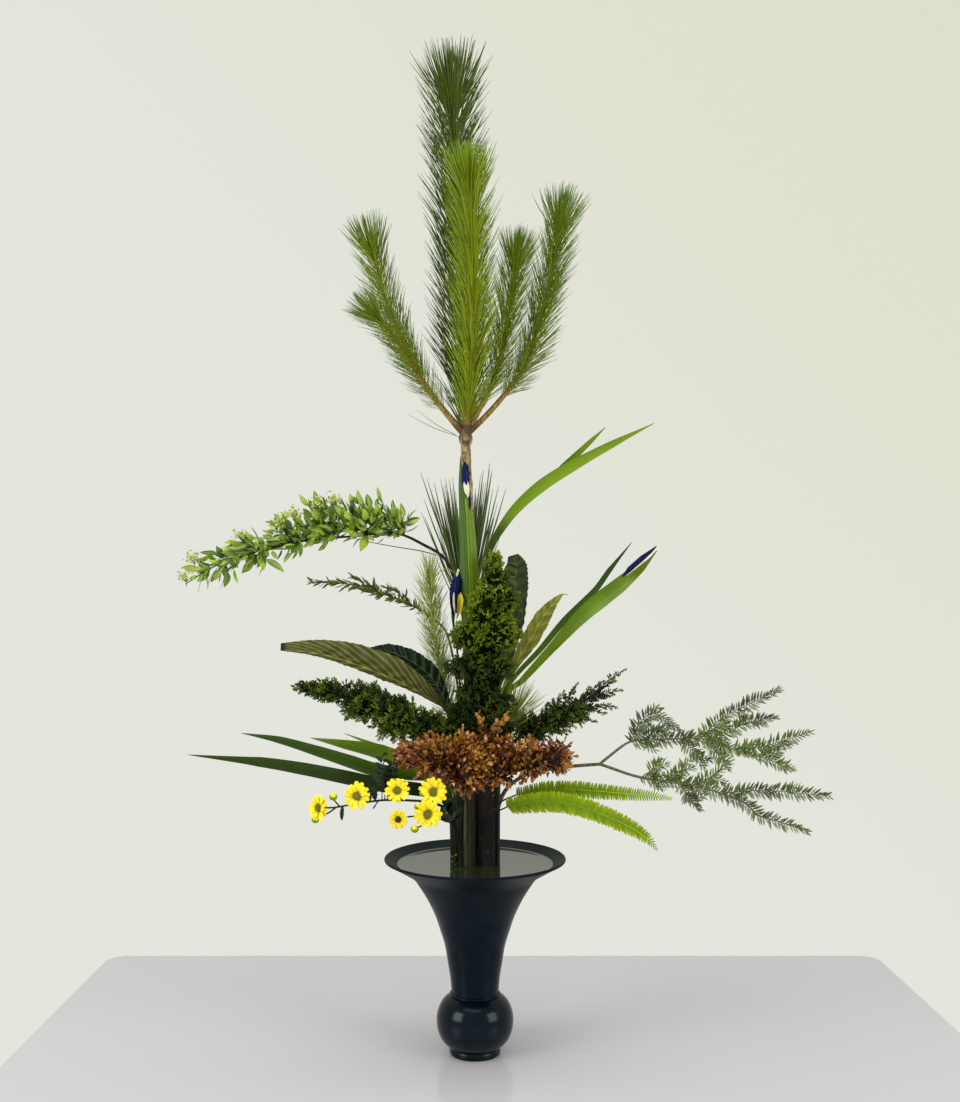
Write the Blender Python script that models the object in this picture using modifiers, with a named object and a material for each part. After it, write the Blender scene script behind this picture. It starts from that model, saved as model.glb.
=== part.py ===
# Rikka flower arrangement in a turned bronze vase.
# Every branch, leaf stalk and flower stem stands in a straw bundle inside the vase, each in a socket
# of its own, and leaves the upright bundle of stems on its own side.
# Lengths are written in centimetres and turned into metres where the meshes are made.
# +X is to the right of the front view, -Y is towards the viewer, +Z is up.
# The origin is the centre of the flat underside of the foot.
import math

import bmesh
import bpy
from mathutils import Matrix, Vector, noise

cm = 0.01

# Driving dimensions of the vase
footRadius = 3.36
bulbRadius = 5.1
bulbHeight = 4.4
neckRadius = 3.12
neckHeight = 8.3
mouthRadius = 12.0
mouthHeight = 25.9
wall = 0.28
floorHeight = 1.0
waterLevel = 25.0

# Driving dimensions of the straw bundle and its sockets
bundleTop = 20.5
bundleWaist = 2.35
bundleHead = 4.0
socketFloor = 17.6

# A needle brush is solid only as far out as its needles stand close together
brushFill = 0.85

# Clearance between pieces that touch
clearance = 0.035
turnSteps = 26


def material(name, colour, roughness, metallic=0.0):
    made = bpy.data.materials.new(name)
    made.use_nodes = True
    shader = made.node_tree.nodes["Principled BSDF"]
    shader.inputs["Base Color"].default_value = (*colour, 1.0)
    shader.inputs["Roughness"].default_value = roughness
    shader.inputs["Metallic"].default_value = metallic
    return made


def clearScene():
    for item in list(bpy.data.objects):
        bpy.data.objects.remove(item)


def makeObject(name, mesh):
    item = bpy.data.objects.new(name, mesh)
    bpy.context.scene.collection.objects.link(item)
    return item


def evaluated(item):
    graph = bpy.context.evaluated_depsgraph_get()
    return bpy.data.meshes.new_from_object(item.evaluated_get(graph))


def welded(mesh, distance=1e-6):
    work = bmesh.new()
    work.from_mesh(mesh)
    bmesh.ops.remove_doubles(work, verts=work.verts, dist=distance)
    bmesh.ops.recalc_face_normals(work, faces=work.faces)
    work.to_mesh(mesh)
    work.free()
    return mesh


# A smooth line through unevenly spaced points: Hermite spans whose tangents follow the neighbouring
# points and are as long as the shorter span beside them, so long straight stems stay straight
def smoothLine(points, values, steps):
    nodes = [Vector(p) for p in points]
    lengths = [(b - a).length for a, b in zip(nodes, nodes[1:])]
    last = len(nodes) - 1
    tangents = []
    for i in range(len(nodes)):
        way = (nodes[min(i + 1, last)] - nodes[max(i - 1, 0)]).normalized()
        tangents.append(way * min(lengths[max(i - 1, 0)], lengths[min(i, last - 1)]))
    line, carried = [], []
    for i in range(last):
        for k in range(steps):
            t = k / steps
            start, end = 2 * t**3 - 3 * t**2 + 1, 3 * t**2 - 2 * t**3
            leave, arrive = t**3 - 2 * t**2 + t, t**3 - t**2
            spot = nodes[i] * start + nodes[i + 1] * end
            line.append(spot + tangents[i] * leave + tangents[i + 1] * arrive)
            carried.append([u + (v - u) * t for u, v in zip(values[i], values[i + 1])])
    line.append(nodes[-1])
    carried.append(list(values[-1]))
    return line, carried


# A turned solid: its closed profile runs down the outside and back along the inside or the axis
def turned(name, profile, steps=turnSteps):
    mesh = bpy.data.meshes.new(name)
    points = [(r * cm, 0.0, z * cm) for r, z in profile]
    count = len(points)
    pairs = [(i, (i + 1) % count) for i in range(count)]
    edges = [(a, b) for a, b in pairs if profile[a][0] > 0 or profile[b][0] > 0]
    mesh.from_pydata(points, edges, [])
    item = makeObject(name, mesh)
    screw = item.modifiers.new("turn", "SCREW")
    screw.angle = math.tau
    screw.steps = steps
    screw.render_steps = steps
    screw.use_merge_vertices = True
    screw.merge_threshold = 1e-6
    solid = welded(evaluated(item))
    item.modifiers.clear()
    item.data = solid
    return item


class Tube:
    """A tapered round tube along a smooth line; squash flattens it front to back."""

    cuts = True

    def __init__(self, points, radii, sides=1, squash=1.0, steps=2):
        self.points, self.radii = points, radii
        self.sides, self.squash, self.steps = sides, squash, steps

    def build(self, extra=0.0):
        line, radii = smoothLine(self.points, [[r] for r in self.radii], self.steps)
        curve = bpy.data.curves.new("tube", "CURVE")
        curve.dimensions = "3D"
        curve.bevel_depth = cm
        curve.bevel_resolution = self.sides
        curve.use_fill_caps = True
        spline = curve.splines.new("POLY")
        spline.points.add(len(line) - 1)
        ends = (line[0] - line[1]).normalized() * extra, (line[-1] - line[-2]).normalized() * extra
        line[0] = line[0] + ends[0]
        line[-1] = line[-1] + ends[1]
        for point, spot, radius in zip(spline.points, line, radii):
            point.co = (spot.x * cm, spot.y * cm / self.squash, spot.z * cm, 1.0)
            point.radius = radius[0] + extra
        item = makeObject("tube", curve)
        mesh = welded(evaluated(item))
        bpy.data.objects.remove(item)
        mesh.transform(Matrix.Diagonal((1.0, self.squash, 1.0, 1.0)))
        return makeObject("tube", mesh)


class Blade:
    """A leaf blade: a loft of flat lens-shaped sections that widen, taper and may be toothed."""

    cuts = True

    def __init__(self, points, halfWidths, thickness, across, steps=2, tooth=1.0):
        self.points = points
        self.values = list(zip(halfWidths, thickness))
        self.across, self.steps, self.tooth = Vector(across), steps, tooth

    def build(self, extra=0.0):
        line, values = smoothLine(self.points, self.values, self.steps)
        work = bmesh.new()
        rings = []
        for i, (spot, (half, thick)) in enumerate(zip(line, values)):
            ahead = line[min(i + 1, len(line) - 1)] - line[max(i - 1, 0)]
            ahead.normalize()
            side = (self.across - ahead * self.across.dot(ahead)).normalized()
            face = ahead.cross(side)
            notch = self.tooth if i % 2 and half > 0.3 else 1.0
            end = ahead * extra * ((i == len(line) - 1) - (i == 0))
            width = half * notch + extra * 1.5
            depth = thick / 2 + extra * 1.2
            corners = (side * width, face * depth, -side * width, -face * depth)
            rings.append([work.verts.new((spot + end + c) * cm) for c in corners])
        for low, high in zip(rings, rings[1:]):
            for k in range(4):
                n = (k + 1) % 4
                work.faces.new((low[k], low[n], high[n], high[k]))
        work.faces.new(rings[0])
        work.faces.new(rings[-1])
        bmesh.ops.recalc_face_normals(work, faces=work.faces)
        mesh = bpy.data.meshes.new("blade")
        work.to_mesh(mesh)
        work.free()
        return makeObject("blade", mesh)


class Clump:
    """A rounded mass of small foliage with an uneven surface."""

    cuts = True

    def __init__(self, centre, radii, roughness=0.16):
        self.centre, self.radii, self.roughness = Vector(centre), Vector(radii), roughness

    def build(self, extra=0.0):
        work = bmesh.new()
        bmesh.ops.create_icosphere(work, subdivisions=2, radius=1.0)
        for vert in work.verts:
            way = vert.co.normalized()
            swell = 1.0 + self.roughness * noise.noise(way * 2.3 + self.centre)
            size = [way[k] * (self.radii[k] * swell + extra) for k in range(3)]
            vert.co = (self.centre + Vector(size)) * cm
        mesh = bpy.data.meshes.new("clump")
        work.to_mesh(mesh)
        work.free()
        return makeObject("clump", mesh)


class Head:
    """A flower head: a scalloped disc with a raised centre and a tapered back, along an axis."""

    cuts = True

    def __init__(self, centre, axis, radius, petals=10):
        self.centre, self.axis, self.radius = Vector(centre), Vector(axis).normalized(), radius
        self.petals = petals

    # The point where the flower stalk meets the back of the head
    def back(self):
        return tuple(self.centre - self.axis * (0.3 * self.radius + 0.09))

    def build(self, extra=0.0):
        turn = Vector((0, 0, 1)).rotation_difference(self.axis).to_matrix()
        rings = ((-0.3, 0.16, 0.0), (-0.1, 0.8, 0.06), (0.06, 1.0, 0.1), (0.2, 0.45, 0.0))
        count = self.petals * 2
        work = bmesh.new()
        loops = []
        for height, width, scallop in rings:
            loop = []
            for k in range(count):
                angle = math.tau * k / count
                out = self.radius * (width + scallop * (-1) ** k * 0.5) + extra
                rise = self.radius * height + extra * (1 if height > 0 else -1)
                spot = Vector((out * math.cos(angle), out * math.sin(angle), rise))
                loop.append(work.verts.new((self.centre + turn @ spot) * cm))
            loops.append(loop)
        for low, high in zip(loops, loops[1:]):
            for k in range(count):
                n = (k + 1) % count
                work.faces.new((low[k], low[n], high[n], high[k]))
        work.faces.new(loops[0])
        work.faces.new(loops[-1])
        bmesh.ops.recalc_face_normals(work, faces=work.faces)
        mesh = bpy.data.meshes.new("head")
        work.to_mesh(mesh)
        work.free()
        return makeObject("head", mesh)


class Turned:
    """A turned piece; the grown profile, where it has one, is its clearance copy."""

    def __init__(self, profile, grown=None):
        self.profile, self.grown = profile, grown
        self.cuts = grown is not None

    def build(self, extra=0.0):
        return turned("turned", self.grown if extra else self.profile)


class Ring:
    """A round cord laid in a circle, at a height and around a radius."""

    cuts = True

    def __init__(self, height, radius, thick):
        self.height, self.radius, self.thick = height, radius, thick

    def build(self, extra=0.0):
        reach, count = self.thick + extra, 6
        spots = []
        for k in range(count):
            angle = -math.tau * k / count
            spots.append((self.radius + reach * math.cos(angle), self.height + reach * math.sin(angle)))
        return turned("ring", spots)


class Piece:
    """One node: firm shapes keep their form, soft masses give way to every other piece."""

    def __init__(self, name, look, firm=(), soft=()):
        self.name, self.look = name, look
        self.firm, self.soft = list(firm), list(soft)


def bounds(item):
    spots = [v.co for v in item.data.vertices]
    low = Vector([min(s[k] for s in spots) for k in range(3)])
    high = Vector([max(s[k] for s in spots) for k in range(3)])
    return low, high


def boxesMeet(first, second):
    return all(first[0][k] <= second[1][k] and second[0][k] <= first[1][k] for k in range(3))


# Joins or cuts one solid with many in a single Boolean, and clears the tools away
def combine(base, others, operation):
    if not others:
        return base
    tools = bpy.data.collections.new("tools")
    bpy.context.scene.collection.children.link(tools)
    for other in others:
        tools.objects.link(other)
    change = base.modifiers.new("combine", "BOOLEAN")
    change.operation = operation
    change.operand_type = "COLLECTION"
    change.collection = tools
    change.solver = "EXACT"
    mesh = welded(evaluated(base), 2e-6)
    base.modifiers.clear()
    base.data = mesh
    for other in others:
        bpy.data.objects.remove(other)
    bpy.data.collections.remove(tools)
    return base


def union(shapes):
    solids = [shape.build() for shape in shapes]
    return combine(solids[0], solids[1:], "UNION")


# A mass that its neighbours divide keeps only its largest part
def keepLargest(item):
    work = bmesh.new()
    work.from_mesh(item.data)
    left = set(work.verts)
    islands = []
    while left:
        stack = [left.pop()]
        island = set(stack)
        while stack:
            for edge in stack.pop().link_edges:
                for vert in edge.verts:
                    if vert in left:
                        left.discard(vert)
                        island.add(vert)
                        stack.append(vert)
        islands.append(island)
    islands.sort(key=len, reverse=True)
    for island in islands[1:]:
        bmesh.ops.delete(work, geom=list(island), context="VERTS")
    work.to_mesh(item.data)
    work.free()
    return len(islands)


# Firm shapes of every other piece, and soft masses of earlier pieces, cut a piece's soft masses
def settle(pieces, home):
    firmCopies = [(p, s) for p in pieces for s in p.firm]
    softCopies = []
    for piece in pieces:
        if piece.soft:
            mass = union(piece.soft)
            box = bounds(mass)
            cutters = []
            for owner, shape in firmCopies + softCopies:
                if owner is piece or not shape.cuts:
                    continue
                cutter = shape.build(clearance)
                if boxesMeet(box, bounds(cutter)):
                    cutters.append(cutter)
                else:
                    bpy.data.objects.remove(cutter)
            mass = combine(mass, cutters, "DIFFERENCE")
            softCopies += [(piece, shape) for shape in piece.soft]
            base = combine(mass, [shape.build() for shape in piece.firm], "UNION")
        else:
            base = union(piece.firm)
        parts = keepLargest(base)
        base.name = piece.name
        base.data.name = piece.name
        base.data.materials.clear()
        base.data.materials.append(piece.look)
        base.data.shade_smooth()
        base.data.set_sharp_from_angle(angle=math.radians(40))
        bpy.context.scene.collection.objects.unlink(base)
        home.objects.link(base)
        print(piece.name, len(base.data.polygons), "faces", parts, "parts")


# The outside of the vase from the mouth down: flared trumpet, ringed neck, round bulb, short foot
vaseOutside = [
    (mouthRadius - 0.12, mouthHeight), (mouthRadius, mouthHeight - 0.14), (mouthRadius - 0.3, 25.5),
    (10.1, 24.55), (8.25, 23.45), (7.45, 22.2), (6.3, 20.4), (5.3, 18.3), (4.55, 16.1), (3.98, 14.2),
    (3.6, 11.9), (3.3, 10.1), (neckRadius, neckHeight + 0.35), (neckRadius, neckHeight - 0.35),
    (3.4, 7.75), (3.75, 7.7), (3.85, 7.3), (4.2, 7.1), (4.72, 6.2), (5.02, 5.3),
    (bulbRadius, bulbHeight), (4.98, 3.3), (4.6, 2.25), (3.95, 1.3), (footRadius - 0.04, 0.72),
    (footRadius, 0.5), (footRadius, 0.0), (0.0, 0.0),
]

# The inside of the vase from the floor up to the lip
vaseInside = [
    (0.0, floorHeight), (3.3, floorHeight), (4.2, 2.2), (4.66, 3.3), (bulbRadius - wall - 0.03, bulbHeight),
    (4.7, 5.3), (4.4, 6.1), (3.75, 6.8), (2.95, 7.5), (neckRadius - wall, neckHeight),
    (3.02, 10.1), (3.32, 11.9), (3.68, 14.2), (4.22, 16.2), (4.98, 18.4), (5.98, 20.6),
    (7.15, 22.45), (7.95, 23.75), (9.9, 24.9), (11.3, 25.72),
]

bundleSide = [
    (bundleHead, bundleTop), (bundleHead, 18.2), (3.6, 16.2), (3.1, 14.2), (2.7, 11.9),
    (bundleWaist, 9.6), (bundleWaist, floorHeight + clearance),
]


def insideRadius(height):
    for (r0, z0), (r1, z1) in zip(vaseInside[1:], vaseInside[2:]):
        if z0 <= height <= z1:
            return r0 + (r1 - r0) * (height - z0) / (z1 - z0)
    return vaseInside[-1][0]


def vase(look):
    return Piece("vase", look, firm=[Turned(vaseOutside + vaseInside)])


def strawBundle(look):
    profile = [(0.0, bundleTop)] + bundleSide + [(0.0, floorHeight + clearance)]
    grown = [(0.0, bundleTop + clearance)]
    grown += [(r + clearance, z + clearance) for r, z in bundleSide[:1]]
    grown += [(r + clearance, z) for r, z in bundleSide[1:-1]]
    grown += [(bundleWaist + clearance, floorHeight - 0.2), (0.0, floorHeight - 0.2)]
    return Piece("straw_bundle", look, soft=[Turned(profile, grown)])


def bundleTie(name, height, radius, look):
    thick = 0.16
    return Piece(name, look, firm=[Ring(height, radius + clearance + thick, thick)])


# The water fills the vase around the bundle, up to just under the lip
def water(look):
    bottom = floorHeight + 2 * clearance
    side = [
        (r - 0.2, z) for i, (r, z) in enumerate(vaseInside[1:-1])
        if z < waterLevel - 0.5 and (i % 2 or z > 20)
    ]
    profile = [(0.0, waterLevel), (insideRadius(waterLevel) - 0.1, waterLevel)]
    profile += side[::-1] + [(vaseInside[1][0] - 0.2, bottom), (0.0, bottom)]
    return Piece("water", look, soft=[Turned(profile)])


def stemFoot(x, y):
    return (x, y, socketFloor)


# The tall pine branch at the back: bare trunk, whorl of twigs, and a needle brush on each twig
def pineTrunk(look):
    trunk = Tube(
        [stemFoot(1.75, -0.2), (1.8, -0.2, 25.0), (1.75, -0.2, 34.0), (1.4, -0.1, 44.0),
         (0.75, 0.0, 54.6), (-0.35, 0.4, 67.9), (-1.15, 0.6, 77.2), (-1.3, 0.8, 82.6)],
        [1.4, 1.38, 1.35, 1.25, 1.0, 0.82, 0.7, 0.75], sides=3,
    )
    whorl = (-1.25, 0.75, 81.8)
    twigs = [
        ([whorl, (-1.4, 1.8, 86.0), (-1.6, 2.6, 90.0)], [0.5, 0.42, 0.36]),
        ([whorl, (-0.8, -0.6, 86.0), (-0.4, -1.2, 89.0)], [0.45, 0.36, 0.32]),
        ([whorl, (-4.0, 1.0, 85.0), (-6.3, 1.4, 88.1), (-9.0, 2.0, 92.9)], [0.5, 0.45, 0.4, 0.3]),
        ([(-6.2, 1.35, 87.9), (-7.4, 0.8, 89.6), (-8.4, 0.0, 91.2)], [0.34, 0.3, 0.26]),
        ([whorl, (0.9, 1.1, 86.0), (2.5, 0.8, 89.3), (3.4, 0.5, 92.5)], [0.45, 0.38, 0.34, 0.3]),
        ([whorl, (2.0, 1.5, 85.1), (5.0, 2.2, 88.8), (7.2, 2.9, 92.5)], [0.45, 0.4, 0.36, 0.3]),
    ]
    return Piece("pine_trunk", look, firm=[trunk] + [Tube(*twig, steps=1) for twig in twigs])


def pineNeedles(looks):
    shoots = {
        "pine_needles_tall": ("deep", [
            (-1.6, 2.64, 90.05), (-1.8, 2.9, 93.0), (-2.0, 3.3, 98.5), (-2.5, 4.2, 112.0),
            (-3.0, 4.9, 127.0), (-3.1, 5.0, 133.0), (-3.1, 5.0, 136.2)],
            [0.36, 1.3, 4.2, 4.5, 4.8, 4.9, 3.6]),
        "pine_needles_center": ("bright", [
            (-0.4, -1.24, 89.05), (-0.2, -1.5, 91.5), (-0.1, -2.0, 96.0), (-0.4, -2.6, 105.0),
            (-0.7, -3.0, 114.0), (-0.7, -3.0, 118.0), (-0.7, -3.0, 120.2)],
            [0.32, 1.2, 3.5, 3.8, 4.0, 3.6, 2.4]),
        "pine_needles_left_upper": ("mid", [
            (-9.04, 2.02, 92.94), (-10.2, 2.5, 95.4), (-11.9, 3.0, 99.2), (-13.5, 3.5, 105.5),
            (-14.6, 3.9, 110.0), (-15.1, 4.0, 112.3)],
            [0.3, 1.1, 2.7, 3.2, 3.3, 2.2]),
        "pine_needles_left_lower": ("mid", [
            (-8.43, -0.03, 91.24), (-9.4, -0.8, 93.0), (-11.0, -2.0, 95.6), (-13.2, -3.0, 98.4),
            (-15.2, -3.6, 100.0)],
            [0.26, 0.9, 2.2, 2.5, 1.4]),
        "pine_needles_right_inner": ("bright", [
            (3.41, 0.48, 92.55), (3.8, 0.3, 95.0), (4.7, 0.0, 99.5), (5.7, -0.4, 105.5),
            (6.0, -0.5, 109.8)],
            [0.3, 1.0, 2.4, 2.6, 1.7]),
        "pine_needles_right_outer": ("mid", [
            (7.26, 2.94, 92.62), (8.1, 3.1, 95.5), (9.5, 3.5, 100.7), (11.0, 4.0, 107.5),
            (11.9, 4.2, 113.5), (12.0, 4.2, 116.6)],
            [0.3, 1.2, 2.9, 3.3, 3.3, 2.2]),
    }
    made = []
    for name, (tone, points, radii) in shoots.items():
        start = Tube(points[:2], radii[:2], sides=3)
        dense = [r * brushFill for r in radii[1:]]
        brush = Tube(points[1:], dense, sides=3, squash=0.85, steps=1)
        made.append(Piece(name, looks[tone], firm=[start], soft=[brush]))
    return made


def lesserPines(looks):
    rear = Piece(
        "pine_rear_tuft", looks["deep"],
        firm=[Tube([stemFoot(0.2, 2.7), (0.1, 2.9, 34.0), (-0.5, 5.2, 48.0), (-1.2, 6.8, 56.5)],
                   [0.3, 0.3, 0.27, 0.24])],
        soft=[Tube([(-1.2, 6.8, 55.5), (-1.8, 7.4, 60.0), (-2.3, 7.9, 66.0), (-2.6, 8.2, 73.5),
                    (-2.6, 8.3, 77.5)], [0.4, 1.6, 3.2, 4.6, 3.8], sides=3, squash=0.55, steps=1)],
    )
    side = Piece(
        "pine_side_brush", looks["silver"],
        firm=[Tube([stemFoot(-1.1, 0.3), (-1.15, 0.5, 35.0), (-2.4, 1.5, 41.0), (-4.4, 1.3, 46.0)],
                   [0.26, 0.26, 0.24, 0.22])],
        soft=[Tube([(-4.2, 1.3, 45.5), (-5.0, 1.1, 48.5), (-5.5, 0.9, 54.0), (-6.0, 0.9, 61.5),
                    (-6.2, 0.9, 65.8)], [0.4, 1.6, 2.2, 2.2, 1.4], sides=3, squash=0.9, steps=1)],
    )
    tuft = Piece(
        "pine_right_tuft", looks["silver"],
        firm=[Tube([stemFoot(2.95, -1.4), (3.05, -1.4, 36.0), (3.7, -1.4, 41.0), (4.7, -1.15, 43.6)],
                   [0.22, 0.22, 0.2, 0.2])],
        soft=[Tube([(4.4, -1.2, 43.0), (5.3, -0.9, 45.0), (6.9, -0.4, 47.8), (7.9, 0.0, 49.6)],
                   [0.3, 1.4, 1.7, 0.9], sides=3, steps=1)],
    )
    return [rear, side, tuft]


# Iris: upright leaf and two flowers in the centre, two leaves and a bud to each right-hand side,
# four long leaves low on the left
def irisCentre(looks):
    leaf = Blade(
        [stemFoot(-1.05, -1.55), (-1.05, -1.6, 38.0), (-0.9, -1.8, 48.0), (-0.8, -2.0, 55.0),
         (-0.7, -2.3, 61.8), (-1.1, -2.8, 70.2), (-1.7, -3.1, 75.6), (-1.9, -3.2, 78.6)],
        [0.2, 0.22, 0.35, 0.7, 1.05, 0.92, 0.4, 0.05],
        [0.4, 0.4, 0.34, 0.3, 0.25, 0.2, 0.14, 0.06], (1, 0, 0),
    )
    upper = Tube(
        [(-0.75, -2.45, 57.5), (-0.7, -2.68, 61.8), (-1.05, -3.12, 70.2), (-1.2, -3.4, 73.0),
         (-1.35, -3.62, 74.8), (-1.5, -3.72, 76.5), (-1.6, -3.74, 77.9)],
        [0.12, 0.12, 0.12, 0.14, 0.42, 0.36, 0.1],
    )
    lower = Tube(
        [stemFoot(-1.75, -1.5), (-1.8, -1.6, 45.0), (-2.4, -2.0, 54.0), (-2.85, -2.1, 57.6),
         (-2.85, -2.15, 59.4), (-2.55, -2.15, 61.6), (-2.35, -2.15, 63.6)],
        [0.18, 0.16, 0.14, 0.16, 0.5, 0.68, 0.14],
    )
    return [
        Piece("iris_leaf_center", looks["leaf"], firm=[leaf]),
        Piece("iris_flower_upper", looks["iris"], firm=[upper]),
        Piece("iris_flower_lower", looks["iris"], firm=[lower]),
    ]


def irisRight(looks):
    upper = Blade(
        [stemFoot(0.35, 1.7), (0.5, 1.75, 40.0), (0.8, 1.9, 52.0), (0.95, 1.9, 60.0), (1.2, 1.9, 63.2),
         (1.74, 1.9, 65.9), (2.94, 1.5, 68.6), (5.3, 0.8, 71.9), (8.6, 0.0, 74.9), (12.5, -1.0, 77.4),
         (17.6, -2.5, 80.1), (23.2, -4.0, 82.8)],
        [0.2, 0.2, 0.22, 0.28, 0.36, 0.45, 0.6, 0.9, 1.1, 1.1, 0.75, 0.05],
        [0.4, 0.4, 0.36, 0.32, 0.3, 0.28, 0.25, 0.22, 0.2, 0.2, 0.15, 0.06], (-1, -0.2, 1), steps=1,
    )
    fork = Blade([(11.0, -0.6, 76.7), (13.2, -0.7, 78.4), (15.4, -0.5, 80.5), (17.3, -0.3, 82.6)],
                 [0.5, 0.6, 0.45, 0.05], [0.18, 0.18, 0.14, 0.06], (-1, -0.2, 1), steps=1)
    spathe = Blade(
        [stemFoot(2.1, 1.65), (2.1, 1.7, 36.0), (2.6, 1.7, 42.0), (4.7, 1.3, 47.9), (6.1, 0.9, 49.0),
         (9.9, -0.5, 53.3), (13.7, -2.0, 57.6), (16.25, -3.0, 59.9), (18.7, -4.0, 61.9),
         (21.2, -5.0, 64.2), (23.3, -5.5, 66.3)],
        [0.2, 0.2, 0.22, 0.35, 0.45, 0.6, 0.85, 1.0, 1.0, 0.8, 0.05],
        [0.4, 0.4, 0.36, 0.3, 0.28, 0.25, 0.22, 0.2, 0.2, 0.16, 0.06], (-1, 0, 1), steps=1,
    )
    rear = Blade(
        [stemFoot(1.4, 2.0), (1.45, 2.1, 36.0), (2.2, 2.4, 43.0), (4.6, 2.3, 48.6), (8.7, 2.0, 53.2),
         (12.0, 1.5, 57.2), (16.0, 1.0, 61.2), (17.9, 0.5, 63.9), (20.8, 0.0, 67.6)],
        [0.18, 0.18, 0.22, 0.3, 0.4, 0.48, 0.45, 0.4, 0.05],
        [0.36, 0.36, 0.32, 0.26, 0.22, 0.2, 0.18, 0.15, 0.06], (-1, 0, 1), steps=1,
    )
    bud = Tube([(16.4, -3.3, 60.1), (18.7, -4.3, 62.1), (20.4, -5.3, 64.2), (21.6, -5.8, 65.4),
                (22.8, -6.1, 66.6)],
               [0.1, 0.14, 0.36, 0.3, 0.08])
    return [
        Piece("iris_leaf_upper_right", looks["leaf"], firm=[upper, fork]),
        Piece("iris_spathe_right", looks["leaf"], firm=[spathe]),
        Piece("iris_leaf_right_rear", looks["leaf"], firm=[rear]),
        Piece("iris_bud_right", looks["iris"], firm=[bud]),
    ]


def irisLeft(looks):
    leaves = [
        ([stemFoot(-2.95, -0.6), (-3.0, -0.6, 31.0), (-4.2, -1.0, 34.0), (-7.2, -2.0, 35.1),
          (-11.7, -3.5, 35.9), (-17.2, -6.0, 37.5), (-22.0, -8.0, 38.8), (-26.8, -9.5, 39.8),
          (-35.4, -11.0, 40.9)],
         [0.22, 0.22, 0.35, 0.55, 0.75, 0.85, 0.85, 0.75, 0.05]),
        ([stemFoot(-2.85, 0.15), (-2.9, 0.15, 32.5), (-4.6, -0.1, 35.9), (-8.6, -1.0, 36.9),
          (-13.0, -2.5, 37.8), (-16.2, -3.5, 39.0), (-20.0, -4.5, 40.4), (-24.9, -6.0, 42.1),
          (-29.6, -7.0, 43.1)],
         [0.2, 0.2, 0.3, 0.45, 0.6, 0.65, 0.6, 0.5, 0.05]),
        ([stemFoot(-2.6, 0.95), (-2.65, 0.95, 33.5), (-4.0, 1.0, 35.9), (-6.6, 0.7, 37.3),
          (-12.5, -0.3, 39.8), (-17.1, -1.0, 40.9), (-21.6, -2.0, 41.9)],
         [0.2, 0.2, 0.3, 0.5, 0.78, 0.6, 0.05]),
        ([stemFoot(-2.15, 1.6), (-2.2, 1.6, 34.5), (-3.8, 2.0, 37.2), (-7.5, 2.4, 38.4),
          (-11.4, 2.5, 39.6), (-17.7, 3.0, 41.9)],
         [0.2, 0.2, 0.3, 0.45, 0.5, 0.05]),
    ]
    made = []
    for number, (points, halves) in enumerate(leaves, 1):
        thick = [max(0.06, 0.4 - 0.3 * i / (len(points) - 2)) for i in range(len(points))]
        blade = Blade(points, halves, thick, (0.3, -0.25, 1), steps=1)
        made.append(Piece(f"iris_leaf_left_{number}", looks["leaf"], firm=[blade]))
    return made


# Loquat: two short stems, each carrying two broad ribbed leaves
def loquat(looks):
    frontStem = Tube([stemFoot(-1.9, 0.4), (-1.9, 0.4, 38.0), (-2.6, 0.1, 42.0), (-3.4, -0.6, 44.6)],
                     [0.3, 0.28, 0.26, 0.24])
    backStem = Tube([stemFoot(1.7, 2.75), (1.75, 2.9, 36.0), (2.4, 3.8, 43.0), (3.2, 4.4, 47.4)],
                    [0.26, 0.26, 0.24, 0.22])
    left = Blade(
        [(-3.44, -0.66, 44.67), (-4.2, -1.6, 45.9), (-7.2, -3.0, 48.5), (-10.9, -4.5, 50.8),
         (-16.5, -6.5, 53.0), (-20.1, -8.0, 53.9), (-24.3, -9.0, 53.7)],
        [0.1, 0.3, 1.0, 1.9, 2.3, 1.9, 0.08], [0.2, 0.22, 0.2, 0.2, 0.2, 0.18, 0.06],
        (0, -1, 0.55),
    )
    front = Blade(
        [(-3.31, -0.06, 44.07), (-4.5, -0.7, 47.4), (-5.9, -1.2, 49.9), (-8.3, -1.8, 51.8),
         (-11.3, -2.6, 53.4)],
        [0.08, 0.6, 1.0, 1.0, 0.08], [0.16, 0.2, 0.2, 0.18, 0.06], (1, -1, 1),
    )
    back = Blade(
        [(3.2, 4.44, 47.49), (3.9, 5.2, 51.0), (5.0, 5.5, 57.0), (5.5, 5.4, 62.0), (5.1, 5.2, 65.9)],
        [0.1, 0.9, 1.6, 1.4, 0.08], [0.2, 0.2, 0.2, 0.18, 0.06], (1, 0, 0),
    )
    right = Blade(
        [(3.55, 4.25, 47.3), (5.4, 4.0, 51.0), (7.5, 4.0, 54.4), (9.2, 3.8, 57.4), (10.6, 3.5, 59.4),
         (11.8, 3.2, 60.6)],
        [0.15, 0.8, 1.6, 1.5, 0.9, 0.08], [0.22, 0.2, 0.2, 0.2, 0.16, 0.06], (1, -0.8, -0.6),
    )
    return [
        Piece("loquat_stem_front", looks["twig"], firm=[frontStem]),
        Piece("loquat_leaf_left", looks["loquat"], firm=[left]),
        Piece("loquat_leaf_front", looks["loquat"], firm=[front]),
        Piece("loquat_stem_back", looks["twig"], firm=[backStem]),
        Piece("loquat_leaf_back", looks["loquat"], firm=[back]),
        Piece("loquat_leaf_right", looks["loquat"], firm=[right]),
    ]


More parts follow.
